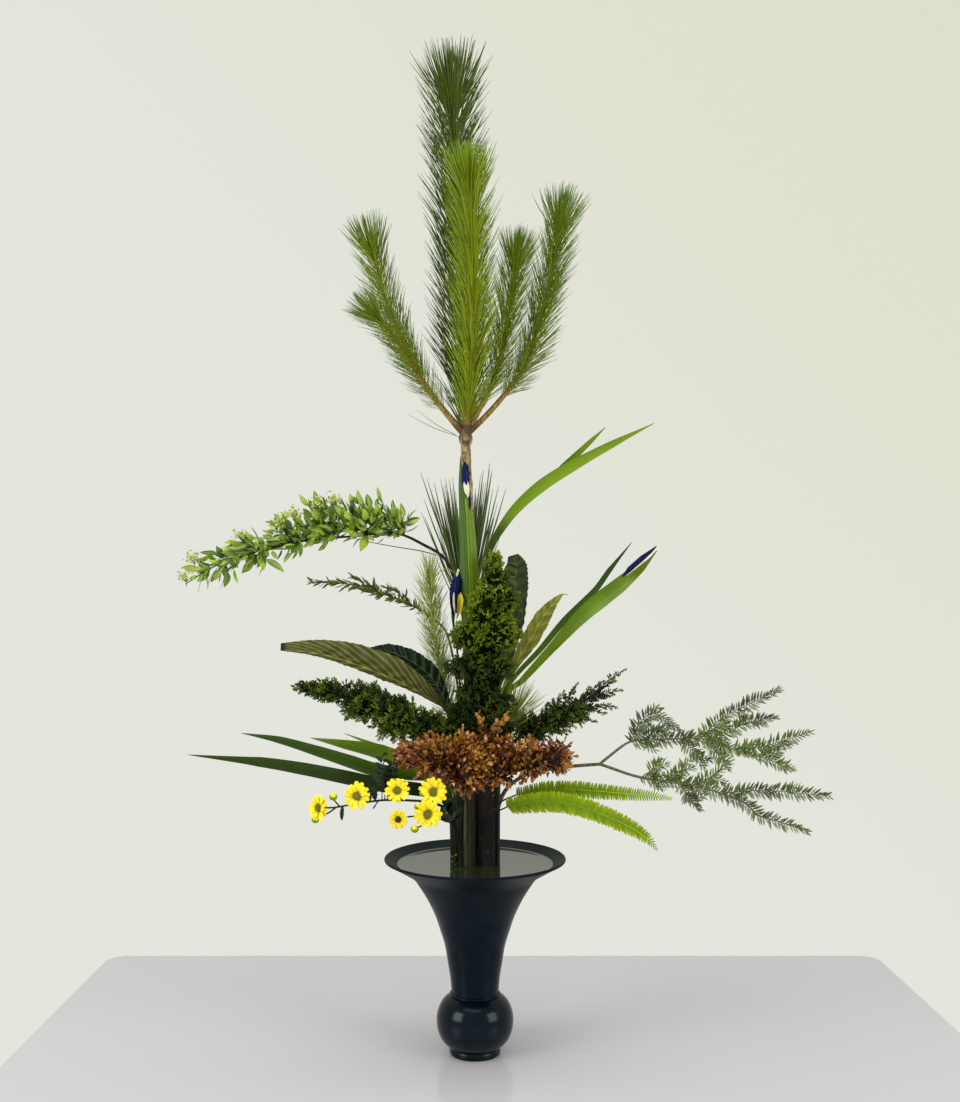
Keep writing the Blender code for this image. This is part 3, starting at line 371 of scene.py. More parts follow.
# Routes are (points, sizes, leans) with a size in cm and a lean in degrees at each point
def grow(name, routes, shape, finish, spacing, turn=137.5, turnJitter=20.0, phase=0.0, leanJitter=8.0,
        sizeJitter=0.2, roll=0.0, rollJitter=0.0, seed=1, steps=4):
    spots, edges, sizes, leans, places = [], [], [], [], []
    for points, pointSizes, pointLeans in routes:
        line, carried = smoothRoute(points, list(zip(pointSizes, pointLeans)), steps)
        first = len(spots)
        spots += [p * cm for p in line]
        edges += [(first + k, first + k + 1) for k in range(len(line) - 1)]
        sizes += [c[0] * cm for c in carried]
        leans += [math.radians(c[1]) for c in carried]
        places += [k / (len(line) - 1) for k in range(len(line))]
    mesh = bpy.data.meshes.new(name)
    mesh.from_pydata(spots, edges, [])
    for key, values in (("size", sizes), ("lean", leans), ("place", places)):
        mesh.attributes.new(key, "FLOAT", "POINT").data.foreach_set("value", values)
    host = linked(name, mesh)
    change = host.modifiers.new("grow", "NODES")
    change.node_group = growAlong
    angles = {
        "Turn": turn, "Turn Jitter": turnJitter, "Phase": phase, "Lean Jitter": leanJitter, "Roll": roll,
        "Roll Jitter": rollJitter,
    }
    settings = {
        "Shape": shape, "Spacing": spacing * cm, "Size Jitter": sizeJitter, "Seed": seed,
        "Finish": finish.material, **{key: math.radians(angle) for key, angle in angles.items()},
    }
    for key, value in settings.items():
        change[growKeys[key]] = value
    graph = bpy.context.evaluated_depsgraph_get()
    grown = bpy.data.meshes.new_from_object(host.evaluated_get(graph))
    host.modifiers.clear()
    host.data = grown
    grown.shade_smooth()
    return host


# A point on the unit sphere: its height, and the angle round it
def onSphere(rise, angle):
    flat = math.sqrt(max(0, 1 - rise * rise))
    return Vector((flat * math.cos(angle), flat * math.sin(angle), rise))


# Branchlets from the nearest place on the spines out to the skin of each rounded mass of a part
def branchlets(part, spines):
    chance = random.Random(part["seed"])
    lean, flow, start = part["lean"], Vector(part.get("flow", (0, 0, 0))), part.get("start", 0.3)
    routes, stems = [], []
    for centre, radii in part["masses"]:
        centre, radii = Vector(centre), Vector(radii)
        area = (radii.x * radii.y + radii.y * radii.z + radii.x * radii.z) * eggSkin
        count = max(6, round(area / part["spread"]**2))
        for k in range(count):
            rise = 1 - 2 * (k + 0.5) / count
            way = onSphere(rise, k * goldenTurn + chance.uniform(-0.3, 0.3))
            reach = chance.uniform(0.74, 1.0) if k % 3 else chance.uniform(0.55, 0.8)
            tip = centre + Vector([w * r for w, r in zip(way, radii)]) * reach
            aim = centre.lerp(tip, 0.3) - flow
            root = min(spines, key=lambda s: (s - aim).length_squared)
            bow = upwards.cross(way) * chance.uniform(-0.25, 0.25) + upwards * 0.15
            mid = root.lerp(tip, 0.55) + bow * (tip - root).length * 0.4
            near = root.lerp(mid, start * 1.4)
            fine = part["size"] * chance.uniform(0.85, 1.15)
            routes.append(([near, mid, tip], [fine * 0.8, fine, fine * 0.75], [lean, lean, lean * 0.35]))
            stems.append([root, near, mid, tip])
    return routes, stems


def twigs(form, stems, thick, sides=4):
    for points in stems:
        form.tube(points, [thick, thick * 0.8, thick * 0.6, thick * 0.3], sides=sides, steps=2)


# Shapes that repeat are one unit long
def needleShape(width, bend=0.045):
    form = Form()
    form.tube([(0, bend * t * t, t) for t in (0, 0.35, 0.7, 1)], [width, width * 1.1, width, width * 0.25],
        sides=3, steps=1)
    return form.shape("needleShape")


def leafShape(name, half, fold=0.25, bend=0.12, tip=0.75, points=5, thick=0.02):
    form = Form()
    ts = [k / points for k in range(points + 1)]
    widths = [max(0.012, half * math.sin(math.pi * t**tip) ** 0.8) for t in ts]
    form.leaf([(0, bend * t * t, t) for t in ts], widths, (1, 0, 0), thick, steps=1, columns=2,
        lift=lambda t, u: fold * (1 - abs(u)))
    return form.shape(name)


def pinnaShape():
    form = Form()
    form.leaf([(0, -0.14 * t * t, t) for t in (-0.04, 0.2, 0.45, 0.7, 0.88, 1.0)],
        [0.12, 0.12, 0.115, 0.1, 0.07, 0.02], (1, 0, 0), 0.03, steps=1, columns=2,
        lift=lambda t, u: 0.15 * (1 - abs(u)))
    return form.shape("pinna")


# A flat spray of blunt scaly lobes
def scaleShape():
    form = Form()
    lobes = {"stem": (0.0, 0.0, 0.05, 1.0), "right": (0.22, 0.62, 0.12, 0.5), "left": (0.34, -0.6, -0.1, 0.48),
        "rightTip": (0.56, 0.5, -0.12, 0.36), "leftTip": (0.66, -0.46, 0.14, 0.32)}
    for base, sideways, forwards, length in lobes.values():
        root, first = Vector((0, 0, base)), len(form.points)
        way = Vector((sideways, forwards, 0.62)).normalized()
        tip = root + way * length
        side = way.orthogonal().normalized() * 0.118
        other, middle = way.cross(side) * 0.65, root + way * length * 0.62
        form.points += [root, middle + side, middle + other, middle - side, middle - other, tip]
        form.marks += [(along, 0.0, 0.5, 1.0) for along in (0, 0.6, 0.6, 0.6, 0.6, 1)]
        for k in range(4):
            a, b = first + 1 + k, first + 1 + (k + 1) % 4
            form.faces += [(first, b, a), (first + 5, a, b)]
            form.looks += [0, 0]
    return form.shape("scaleShape")


shapes = {
    "needle": needleShape(0.0078),
    "boldNeedle": needleShape(0.0095),
    "crownNeedle": needleShape(0.0085, bend=0.11),
    "boxLeaf": leafShape("boxLeaf", 0.4, fold=0.28, bend=0.25, tip=0.9, points=4, thick=0.05),
    "broadLeaf": leafShape("broadLeaf", 0.25, fold=0.3, bend=0.28, tip=0.8, points=6),
    "smallLeaf": leafShape("smallLeaf", 0.15, fold=0.2, bend=0.2, tip=0.9, points=4, thick=0.03),
    "narrowLeaf": leafShape("narrowLeaf", 0.115, fold=0.15, bend=0.16, tip=0.9, points=4, thick=0.03),
    "pinna": pinnaShape(),
    "scale": scaleShape(),
}


# Leaf colours run from base to tip; shade darkens some leaves, low recolours stems towards the water, on most a
# near-black painted shade
def leafFinish(name, base, tip, shade, under=None, variety=0.6, roughness=0.45, ribs=0.0, low=None, patch=None,
        patchScale=60.0, gloss=0.28, inner=None, half=None, heightShade=None):
    finish = Finish(name, **{"Roughness": roughness, "Specular IOR Level": gloss})
    tone = finish.mix(finish.mark("along").between(0.05, 0.95), base, tip)
    tone = finish.mix(finish.mark("tint") * variety, tone, shade)
    if patch:
        tone = finish.mix(finish.noise(patchScale, 2.0).between(0.42, 0.66), tone, patch)
    if under:
        tone = finish.mix(finish.mark("upper").between(0.7, 0.2), tone, under)
    # inner: painted shade deep inside a mass, darker towards the branchlets' roots
    if inner:
        tone = finish.mix(finish.mark("place").between(0.85, 0.3) * 0.85, tone, inner)
    # painted shade: darker below the given heights
    if heightShade:
        start, end, amount = heightShade
        tone = finish.mix(finish.place("Z").between(start, end) * amount, tone, inner or shade)
    # half: one half of the leaf painted darker, painted shade on the side facing away from the light
    if half:
        tone = finish.mix(finish.mark("across").between(0.05, -0.05) * 0.8, tone, half)
    if ribs:
        vein = (finish.mark("across") * ribs).sine()
        tone = finish.mix(vein.between(0.5, 1.0) * 0.35, tone, tip)
        finish.bump(vein, 0.25, 0.0006)
    fleck = finish.noise(900.0, 2.0)
    tone = finish.mix(fleck.between(0.5, 0.8) * 0.25, tone, shade)
    # low: stems recoloured between stemShade's heights towards the water, for most leaves a near-black painted
    # shade
    if low:
        tone = finish.mix(finish.place("Z").between(*stemShade) * 0.92, tone, low)
    finish.paint("Base Color", tone)
    finish.paint("Roughness", (roughness - 0.1) + finish.noise(300.0) * 0.2)
    return finish


def barkFinish(name, light, dark, scale=160.0, low=None, collar=False):
    finish = Finish(name, Roughness=0.85)
    grain = finish.noise(scale, 4.0, (1, 1, 0.45), 0.65)
    tone = finish.mix(grain.between(0.38, 0.62), dark, light)
    # lower down, the trunk is painted darker: painted shade
    if low:
        tone = finish.mix(finish.place("Z").between(*barkShade), tone,
            finish.mix(grain.between(0.45, 0.7), (15, 10, 9), low))
        fleck = finish.noise(90.0, 5.0, roughness=0.75).between(0.58, 0.68)
        tone = finish.mix(fleck * finish.place("Z").between(*lichenShade) * 0.45, tone, (150, 128, 122))
    if collar:
        ring = (finish.place("Z") - collarHeight).size().between(0.016, 0.004)
        tone = finish.mix(ring * 0.8, tone, (58, 44, 26))
    finish.paint("Base Color", tone)
    finish.bump(grain, 0.6, 0.0015)
    return finish


bark = barkFinish("pineBark", (172, 148, 100), (78, 62, 40), 260.0, low=(44, 28, 28), collar=True)
youngBark = barkFinish("youngPineBark", (172, 132, 62), (92, 82, 34), 420.0, collar=True)
darkTwig = barkFinish("darkTwig", (54, 42, 30), (22, 18, 12), 600.0)
greyTwig = barkFinish("greyTwig", (120, 116, 84), (72, 70, 46), 600.0)

needleTones = {
    "deep": ((108, 124, 2), (72, 90, 4), (30, 52, 2)),
    "mid": ((160, 168, 6), (92, 124, 8), (56, 92, 4)),
    "bright": ((158, 158, 2), (132, 162, 2), (80, 110, 0)),
    "silver": ((150, 166, 36), (180, 192, 108), (96, 118, 30)),
    "rear": ((76, 98, 26), (84, 104, 40), (30, 50, 12)),
}
needleFinish = {
    tone: leafFinish("needles_" + tone, *tones, variety=0.75, roughness=0.4)
    for tone, tones in needleTones.items()
}
# near-black painted shade for the stems towards the water
stemShadeTone = (8, 12, 7)
blade = {"roughness": 0.36, "ribs": 22.0}
swordFinish = leafFinish("swordLeaf", (106, 136, 6), (126, 154, 14), (70, 102, 4), variety=0.7, low=stemShadeTone,
    patch=(88, 120, 4), patchScale=10.0, **blade)
# the centre leaf: one half painted darker, painted shade
halfShadedSwordFinish = leafFinish("foldedSwordLeafHalfShaded", (84, 112, 4), (94, 120, 8), (62, 88, 2), variety=0.4,
    low=(84, 104, 44), half=(42, 76, 10), **blade)
darkSwordFinish = leafFinish("darkSwordLeaf", (28, 52, 2), (54, 76, 6), (16, 36, 2), variety=0.7, roughness=0.45,
    gloss=0.2, ribs=22.0, low=stemShadeTone)
# the bent leaf: painted darker below its fold, painted shade
bentSwordFinish = leafFinish("bentSwordLeaf", (84, 116, 6), (122, 152, 14), (22, 46, 4), variety=0.2,
    heightShade=(0.715, 0.685, 0.85), low=stemShadeTone, patch=(84, 116, 4), patchScale=10.0, **blade)
tippedSwordFinish = leafFinish("darkTippedSwordLeaf", (104, 146, 6), (24, 50, 6), (70, 102, 4), variety=0.5,
    low=stemShadeTone, **blade)
stalkFinish = leafFinish("stalk", (34, 46, 26), (62, 74, 40), (18, 24, 16), roughness=0.5, low=stemShadeTone)
# the juniper finishes: inner is painted shade deep inside each mass; the first is also painted darker on its lower
# tiers, painted shade
juniperFinish = leafFinish("juniperScales", (74, 98, 4), (156, 176, 10), (50, 76, 4), variety=0.6, roughness=0.6,
    patch=(54, 80, 4), patchScale=34.0, inner=(12, 24, 4), heightShade=(0.58, 0.5, 0.72))
leftJuniperFinish = leafFinish("leftJuniperScales", (60, 84, 6), (134, 154, 24), (34, 56, 4), variety=0.8,
    roughness=0.6, patch=(40, 62, 6), patchScale=34.0, inner=(12, 24, 4))
darkJuniperFinish = leafFinish("darkJuniperScales", (46, 66, 12), (112, 132, 40), (24, 42, 6), variety=0.8,
    roughness=0.55, inner=(12, 22, 4))
# boxwood: inner is painted shade deep inside each mass
boxFinish = leafFinish("boxwoodLeaves", (124, 75, 20), (162, 72, 32), (76, 27, 13), under=(190, 138, 62),
    variety=1.0, roughness=0.28, patch=(168, 115, 26), patchScale=34.0, inner=(40, 24, 10), gloss=0.6)
spireaFinish = leafFinish("spireaLeaves", (158, 190, 42), (172, 202, 62), (44, 80, 34), under=(172, 196, 92),
    variety=1.0, roughness=0.45, gloss=0.45)
sprigFinish = leafFinish("sprigLeaves", (96, 104, 30), (140, 144, 70), (56, 62, 22), variety=0.85, roughness=0.45)
streamFinish = leafFinish("streamingLeaves", (54, 68, 20), (86, 98, 44), (34, 46, 18), under=(150, 158, 126),
    variety=0.85, roughness=0.45, patch=(84, 108, 10), patchScale=14.0, gloss=0.5)
fernFinish = leafFinish("fernFronds", (118, 152, 0), (178, 202, 0), (96, 130, 0), variety=0.6, roughness=0.5)
shadeFinish = leafFinish("shadedHeart", (14, 22, 8), (20, 30, 10), (8, 14, 6), roughness=0.9, gloss=0.0)
blossomFinish = leafFinish("smallBlossom", (168, 184, 70), (214, 220, 140), (140, 158, 54), roughness=0.6)
greyLeafFinish = leafFinish("smallStemLeaves", (24, 44, 20), (40, 62, 30), (14, 28, 14))


def vaseFinish(name, deep, soft, gloss):
    finish = Finish(name, **{"Coat Roughness": 0.14, "Specular IOR Level": gloss,
        "Specular Tint": (0.62, 0.84, 1.0, 1.0)})
    cloud = finish.noise(34.0, 3.0)
    speck = finish.noise(420.0, 2.0)
    tone = finish.mix(cloud.between(0.35, 0.7), deep, soft)
    tone = finish.mix(finish.mark("upper").between(0.6, 0.2), tone, (24, 32, 31))
    tone = finish.mix(speck.between(0.62, 0.8) * 0.3, tone, (24, 34, 38))
    finish.paint("Base Color", tone)
    high = finish.place("Z")
    finish.paint("Roughness", cloud * 0.12 + speck * 0.05 + high.between(*trumpetPart) * 0.22 + 0.15)
    finish.paint("Coat Weight", high.between(*bulbTop) * 0.16)
    finish.bump(speck, 0.06, 0.0004)
    return finish


def waterFinish():
    finish = Finish("water", **{"Roughness": 0.05, "IOR": 2.05})
    finish.paint("Base Color", finish.mix(finish.noise(9.0).between(0.3, 0.7), (34, 40, 22), (48, 56, 32)))
    finish.bump(finish.noise(26.0, 1.0), 0.03, 0.002)
    return finish


# Fibres of two colours that stand out of the surface
def fibreFinish(name, roughness, grain, edges, dark, pale, strength, distance):
    finish = Finish(name, Roughness=roughness)
    fibre = finish.noise(*grain)
    finish.paint("Base Color", finish.mix(fibre.between(*edges), dark, pale))
    finish.bump(fibre, strength, distance)
    return finish


def petalFinish():
    finish = Finish("yellowPetals", **{"Roughness": 0.55, "Specular IOR Level": 0.3})
    tone = finish.mix(finish.mark("along").between(0.0, 0.5), (214, 176, 10), (250, 232, 30))
    tone = finish.mix(finish.mark("tint").between(0.4, 1.0) * 0.4, tone, (240, 204, 16))
    vein = (finish.mark("across") * 16.0).sine()
    finish.paint("Base Color", tone)
    finish.bump(vein, 0.25, 0.0004)
    return finish


def discFinish(name, rim, heart):
    finish = Finish(name, Roughness=0.7)
    tone = finish.mix(finish.mark("along").between(0.3, 0.9), rim, heart)
    finish.paint("Base Color", finish.mix(finish.noise(1200.0).between(0.4, 0.7) * 0.5, tone, (60, 58, 14)))
    return finish


def petalCloth(name, deep, pale, vein):
    finish = Finish(name, **{"Roughness": 0.5, "Specular IOR Level": 0.15})
    tone = finish.mix(finish.noise(160.0).between(0.35, 0.65), deep, pale)
    lines = (finish.mark("across") * 26.0).sine()
    finish.paint("Base Color", finish.mix(lines.between(0.5, 1.0) * 0.5, tone, vein))
    finish.bump(lines, 0.3, 0.0005)
    return finish


# Loquat: side veins slant forward from the midrib and stand out pale
def loquatFinish(name, flesh, deepFlesh, vein, ribs, slant, roughness, rib=0.0, strength=0.6, dark=0.45):
    finish = Finish(name, Roughness=roughness)
    along, across = finish.mark("along"), (finish.mark("across") - rib).size()
    wave = ((along * ribs - across * slant) * math.tau).sine()
    tone = finish.mix(finish.noise(70.0, 3.0).between(0.35, 0.65), flesh, deepFlesh)
    tone = finish.mix(wave.between(0.8, 1.0) * strength, tone, vein)
    tone = finish.mix(across.between(0.09, 0.03) * 0.8, tone, vein)
    # between the pale side veins the leaf is painted darker: painted shade in the hollows of its quilting
    tone = finish.mix(wave.between(0.1, -1.0) * dark, tone, (20, 24, 10))
    tone = finish.mix(finish.mark("across").size().between(0.93, 0.99) * 0.5, tone, (70, 46, 20))
    finish.paint("Base Color", finish.mix(along.between(0.965, 0.99), tone, (24, 20, 12)))
    finish.bump(finish.noise(800.0, 2.0), 0.15, 0.0005)
    return finish


patina = vaseFinish("bronzePatina", (3, 9, 15), (7, 18, 28), 0.13)
patinaInside = vaseFinish("bronzeInside", (4, 6, 5), (7, 10, 8), 0.1)
waterLook = waterFinish()
petal = petalFinish()
bluePetal = petalCloth("bluePetals", (3, 5, 50), (9, 17, 86), (2, 2, 24))
whitePetal = petalCloth("whitePetals", (214, 212, 190), (236, 234, 220), (196, 190, 120))
goldPetal = petalCloth("goldPetals", (196, 180, 34), (220, 206, 70), (130, 130, 30))
loquatUnder = loquatFinish("loquatUnderside", (92, 95, 28), (72, 77, 18), (168, 164, 76), 16.0, 2.2, 0.6, rib=-0.6,
    strength=0.5, dark=0.4)
# the front leaf: its pale lines along the ribs are partly vein colour and partly painted highlight
loquatTop = loquatFinish("loquatTop", (16, 38, 20), (26, 50, 24), (90, 116, 84), 11.0, 0.8, 0.22, strength=0.4)
loquatDark = loquatFinish("loquatShaded", (54, 68, 6), (38, 48, 6), (84, 92, 16), 9.0, 0.7, 0.5, strength=0.25,
    dark=0.3)
loquatYellow = loquatFinish("loquatYellowSide", (142, 146, 26), (116, 122, 22), (180, 184, 84), 10.0, 0.8, 0.6,
    strength=0.4, dark=0.14)
print("finishes made")


# profiles are (radius, height), down the outside and then down the inside
vaseSizes = {
    "sides": 144, "mouthRadius": 12.0, "mouthHeight": 25.9, "lip": 0.19, "lipArc": (-70, 210),
    "trumpet": [(11.62, 25.42), (10.1, 24.55), (8.35, 23.45), (7.4, 22.2), (6.3, 20.4), (5.3, 18.3), (4.55, 16.1),
        (3.98, 14.2), (3.6, 11.9), (3.3, 10.1), (3.12, 8.2)],
    "collar": [(3.13, 8.06), (3.26, 8.02), (3.34, 7.94), (3.34, 7.84), (3.28, 7.76), (3.22, 7.72)],
    "bulb": [(3.42, 7.6), (3.9, 7.3), (4.45, 6.7), (4.8, 6.0), (5.02, 5.3), (5.1, 4.4), (4.98, 3.3), (4.6, 2.25),
        (4.05, 1.5), (3.42, 1.02)],
    "foot": [(3.26, 0.94), (3.24, 0.86), (3.27, 0.74), (3.36, 0.6), (3.36, 0.1), (3.28, 0.0)],
    "inside": [(11.32, 25.6), (9.9, 24.9), (7.95, 23.75), (7.15, 22.45), (5.98, 20.6), (4.98, 18.4), (4.22, 16.2),
        (3.68, 14.2), (3.32, 11.9), (3.02, 10.1), (2.84, 8.3), (2.95, 7.5), (3.75, 6.8), (4.4, 6.1), (4.7, 5.3),
        (4.79, 4.4), (4.66, 3.3), (4.2, 2.2), (3.3, 1.0)],
}


def smoothProfile(profile, steps=4):
    line, _ = smoothRoute([(r, 0, z) for r, z in profile], [[0]] * len(profile), steps)
    return [(p.x, p.z) for p in line]


# Angles from start on, in even steps
def arc(start, sweep, steps=8):
    return [math.radians(start + sweep * k / steps) for k in range(steps + 1)]


def circle(radius, height, sides):
    return [Vector((radius * math.cos(math.tau * k / sides), radius * math.sin(math.tau * k / sides), height))
        for k in range(sides)]


def makeVase():
    s = vaseSizes
    lip, rim = s["lip"], []
    for angle in arc(*s["lipArc"]):
        rim.append((s["mouthRadius"] - lip + lip * math.cos(angle), s["mouthHeight"] - lip + lip * math.sin(angle)))
    outside = smoothProfile(s["trumpet"]) + s["collar"] + smoothProfile(s["bulb"]) + s["foot"]
    profile = outside[::-1] + rim + smoothProfile(s["inside"], 3)
    form, sides = Form(patina, patinaInside), s["sides"]
    count = len(outside) + len(rim) - 2
    # the outer skin has upper 1 and the inner skin 0, and each is closed by a disc at its far end
    for part, upper in ((profile[:count + 1], 1.0), (profile[count:], 0.0)):
        form.look = int(upper < 0.5)
        start = len(form.points)
        rings = [circle(r, z, sides) for r, z in part]
        form.skin(rings, [k / len(rings) for k in range(len(rings))], [k / sides for k in range(sides)], 0.5,
            [upper] * sides, caps=False)
        first = start if upper else len(form.points) - sides
        form.faces.append(tuple(range(first, first + sides)))
        form.looks.append(0)
    mesh = form.mesh("vase")
    work = bmesh.new()
    work.from_mesh(mesh)
    bmesh.ops.remove_doubles(work, verts=work.verts, dist=sameSpot)
    bmesh.ops.recalc_face_normals(work, faces=work.faces)
    work.to_mesh(mesh)
    work.free()
    settle(linked("vase_body", mesh), "vase", "vase")


water = {
    "level": 25.05, "edge": 10.3, "below": [(9.7, 24.75), (7.9, 23.65), (7.0, 22.3), (5.85, 20.5), (5.6, 19.9)],
}


def makeWater():
    form, sides, level, edge = Form(waterLook), vaseSizes["sides"], water["level"], water["edge"]
    # the rim climbs the wall a little, and below it the water follows the vase
    profile = [(0.4, level), (edge - 0.5, level), (edge - 0.12, level + 0.02), (edge, level + 0.06),
        *water["below"]]
    last = len(profile) - 1
    form.skin([circle(r, z, sides) for r, z in profile], [k / last for k in range(last + 1)], [0.0] * sides)
    settle(form.item("water_surface"), "water", "water")


makeVase()
makeWater()
straw = fibreFinish("straw", 0.8, (700.0, 3.0, (1, 1, 0.04)), (0.35, 0.65), (118, 92, 48), (202, 174, 108), 0.8,
    0.002)
cord = fibreFinish("strawCord", 0.85, (500.0, 2.0, (1, 1, 3)), (0.4, 0.6), (92, 72, 40), (150, 122, 72), 0.6, 0.001)
for nodeName, look in (("straw_bundle", straw), ("bundle_tie_upper", cord), ("bundle_tie_lower", cord)):
    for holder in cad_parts[nodeName].material_slots:
        holder.material = look.material


def foot(x, y):
    return (x, y, footHeight)


def barkSwell(deep, scale):
    def swell(along, angle, spot):
        ridge = noise.noise(Vector((spot.x * 0.3 + math.cos(angle) * scale, math.sin(angle) * scale,
            spot.z * 0.55)))
        crack = noise.noise(Vector((math.cos(angle) * scale * 2.4, math.sin(angle) * scale * 2.4, spot.z * 1.5)))
        return deep * (ridge + 0.6 * crack)
    return swell


whorl = (-1.25, 0.75, 81.8)
pineTwigs = {
    "tall": ([whorl, (-1.4, 1.8, 86), (-1.6, 2.6, 90), (-2, 3.3, 98.5), (-2.5, 4.2, 112), (-3, 4.9, 127.5)],
        [0.5, 0.42, 0.36, 0.3, 0.26, 0.14]),
    "center": ([whorl, (-0.8, -0.6, 86), (-0.4, -1.2, 89), (-0.1, -2, 96), (-0.4, -2.6, 105), (-0.7, -3, 113.5)],
        [0.45, 0.36, 0.32, 0.28, 0.24, 0.14]),
    "left_upper": ([whorl, (-4, 1, 85), (-6.3, 1.4, 88.1), (-9, 2, 92.9), (-11.6, 3, 99.2), (-12.9, 3.5, 103.4),
        (-13.9, 3.8, 107.2)], [0.5, 0.4, 0.34, 0.28, 0.22, 0.18, 0.12]),
    "left_lower": ([(-6.2, 1.35, 87.9), (-7.4, 0.8, 89.6), (-8.4, 0, 91.2), (-11, -2, 95), (-13, -2.9, 97)],
        [0.34, 0.3, 0.24, 0.2, 0.12]),
    "right_inner": ([whorl, (0.9, 1.1, 86), (2.5, 0.8, 89.3), (3.4, 0.5, 92.5), (4.7, 0, 99.5),
        (5.4, -0.3, 104.4)], [0.45, 0.36, 0.32, 0.28, 0.22, 0.12]),
    "right_outer": ([whorl, (2, 1.5, 85.1), (5, 2.2, 88.8), (7.2, 2.9, 92.5), (9.5, 3.5, 100.7), (11, 4, 107),
        (11.6, 4.2, 110.8)], [0.45, 0.38, 0.34, 0.28, 0.24, 0.2, 0.12]),
}
# start: where needles begin along the twig; size and lean at the start, the middle and the tip;
# crown: how wide the tip fans out, and how many needles it has
crownStretch = 1.6
brushes = {
    "tall": {"tone": "deep", "start": 0.03, "spacing": 0.045, "size": (6.6, 8.4, 8.3), "lean": (33, 32, 36),
        "crown": (39, 170)},
    "center": {"tone": "bright", "start": 0.06, "spacing": 0.044, "size": (5.4, 7, 6.3), "lean": (33, 32, 34),
        "crown": (40, 170)},
    "left_upper": {"tone": "mid", "start": 0.18, "spacing": 0.042, "size": (3.2, 5.1, 5.5), "lean": (40, 33, 33),
        "crown": (40, 110)},
    "left_lower": {"tone": "mid", "start": 0.1, "spacing": 0.036, "size": (3, 4.2, 4.3), "lean": (36, 37, 36),
        "crown": (44, 110)},
    "right_inner": {"tone": "mid", "start": 0.22, "spacing": 0.038, "size": (4, 5.5, 5.3), "lean": (34, 30, 32),
        "crown": (40, 100)},
    "right_outer": {"tone": "mid", "start": 0.26, "spacing": 0.034, "size": (4.2, 5.6, 5.8), "lean": (38, 31, 31),
        "crown": (40, 110)},
}


def cutRoute(points, start):
    line, _ = smoothRoute(points, [[0]] * len(points), 6)
    return line[int(start * (len(line) - 1)):]


pineTrunk = {
    "trunk": ([foot(1.75, -0.2), (1.8, -0.2, 25), (1.75, -0.2, 34), (1.4, -0.1, 44), (0.3, 0.2, 54.6),
        (-0.7, 0.4, 67.9), (-1.15, 0.6, 77.2), (-1.3, 0.8, 82.6)],
        [1.38, 1.36, 1.32, 1.22, 0.96, 0.76, 0.66, 0.62]),
    "knot": ((-1.25, 0.75, 81.4), (0.92, 0.85, 1.1)),
    "strayNeedles": [((-2, 0.6, 81.6), (-9, 0.6, 84.6)), ((-2.6, 0.7, 81.9), (-7.8, 0.2, 85.2)),
        ((-6.7, 1.3, 87.6), (-9.3, 0.9, 88.1)), ((-4.9, 1.1, 86), (-7.2, 0.8, 86.5))],
}


def makePine():
    trunk = Form(bark, youngBark)
    trunk.tube(*pineTrunk["trunk"], sides=28, steps=16, swell=barkSwell(0.14, 1.6))
    trunk.ball(*pineTrunk["knot"], 10, 18, swell=lambda w: 1 + 0.16 * noise.noise(w * 3.1))
    trunk.look = 1
    for points, radii in pineTwigs.values():
        trunk.tube(points, radii, steps=6, swell=barkSwell(0.1, 1.2))
    stray = Form(needleFinish["rear"])
    for root, tip in pineTrunk["strayNeedles"]:
        middle = Vector(tip).lerp(Vector(root), 0.5) - upwards * 0.3
        stray.tube([root, middle, tip], [0.05, 0.05, 0.015], sides=4)
    settle(joined("pine_trunk_bark", trunk.item("pine_trunk_bark"), stray.item("stray")), "pine_bark", "pine_trunk")

    for number, (key, brush) in enumerate(brushes.items()):
        points, _ = pineTwigs[key]
        line = cutRoute(points, brush["start"])
        last = len(line) - 1
        picked = [line[0], line[last // 3], line[2 * last // 3], line[last - 1], line[last]]
        low, middle, top = brush["size"]
        wide, usual, close = brush["lean"]
        route = (picked, [low, middle, middle, top, top], [wide, usual, usual, close, close])
        # the tip's own needles fan out over its last stretch, the outer ones a little longer
        spread, count = brush["crown"]
        tip = line[last]
        back = (line[last - 1] - tip).normalized() * crownStretch
        crown = ([tip + back, tip + back * 0.5, tip], [top * 1.2, top * 1.08, top * 0.9],
            [spread, spread * 0.62, 4])
        finish = needleFinish[brush["tone"]]
        needles = grow("needles", [route], shapes["needle"], finish, brush["spacing"], turnJitter=60, leanJitter=7,
            sizeJitter=0.12, rollJitter=30, seed=10 + number, steps=3)
        fan = grow("fan", [crown], shapes["crownNeedle"], finish, crownStretch / count, turnJitter=60,
            leanJitter=6, sizeJitter=0.07, seed=30 + number, steps=2)
        settle(joined("needle_brush_" + key, needles, fan), "pine_needles", "pine_needles_" + key)


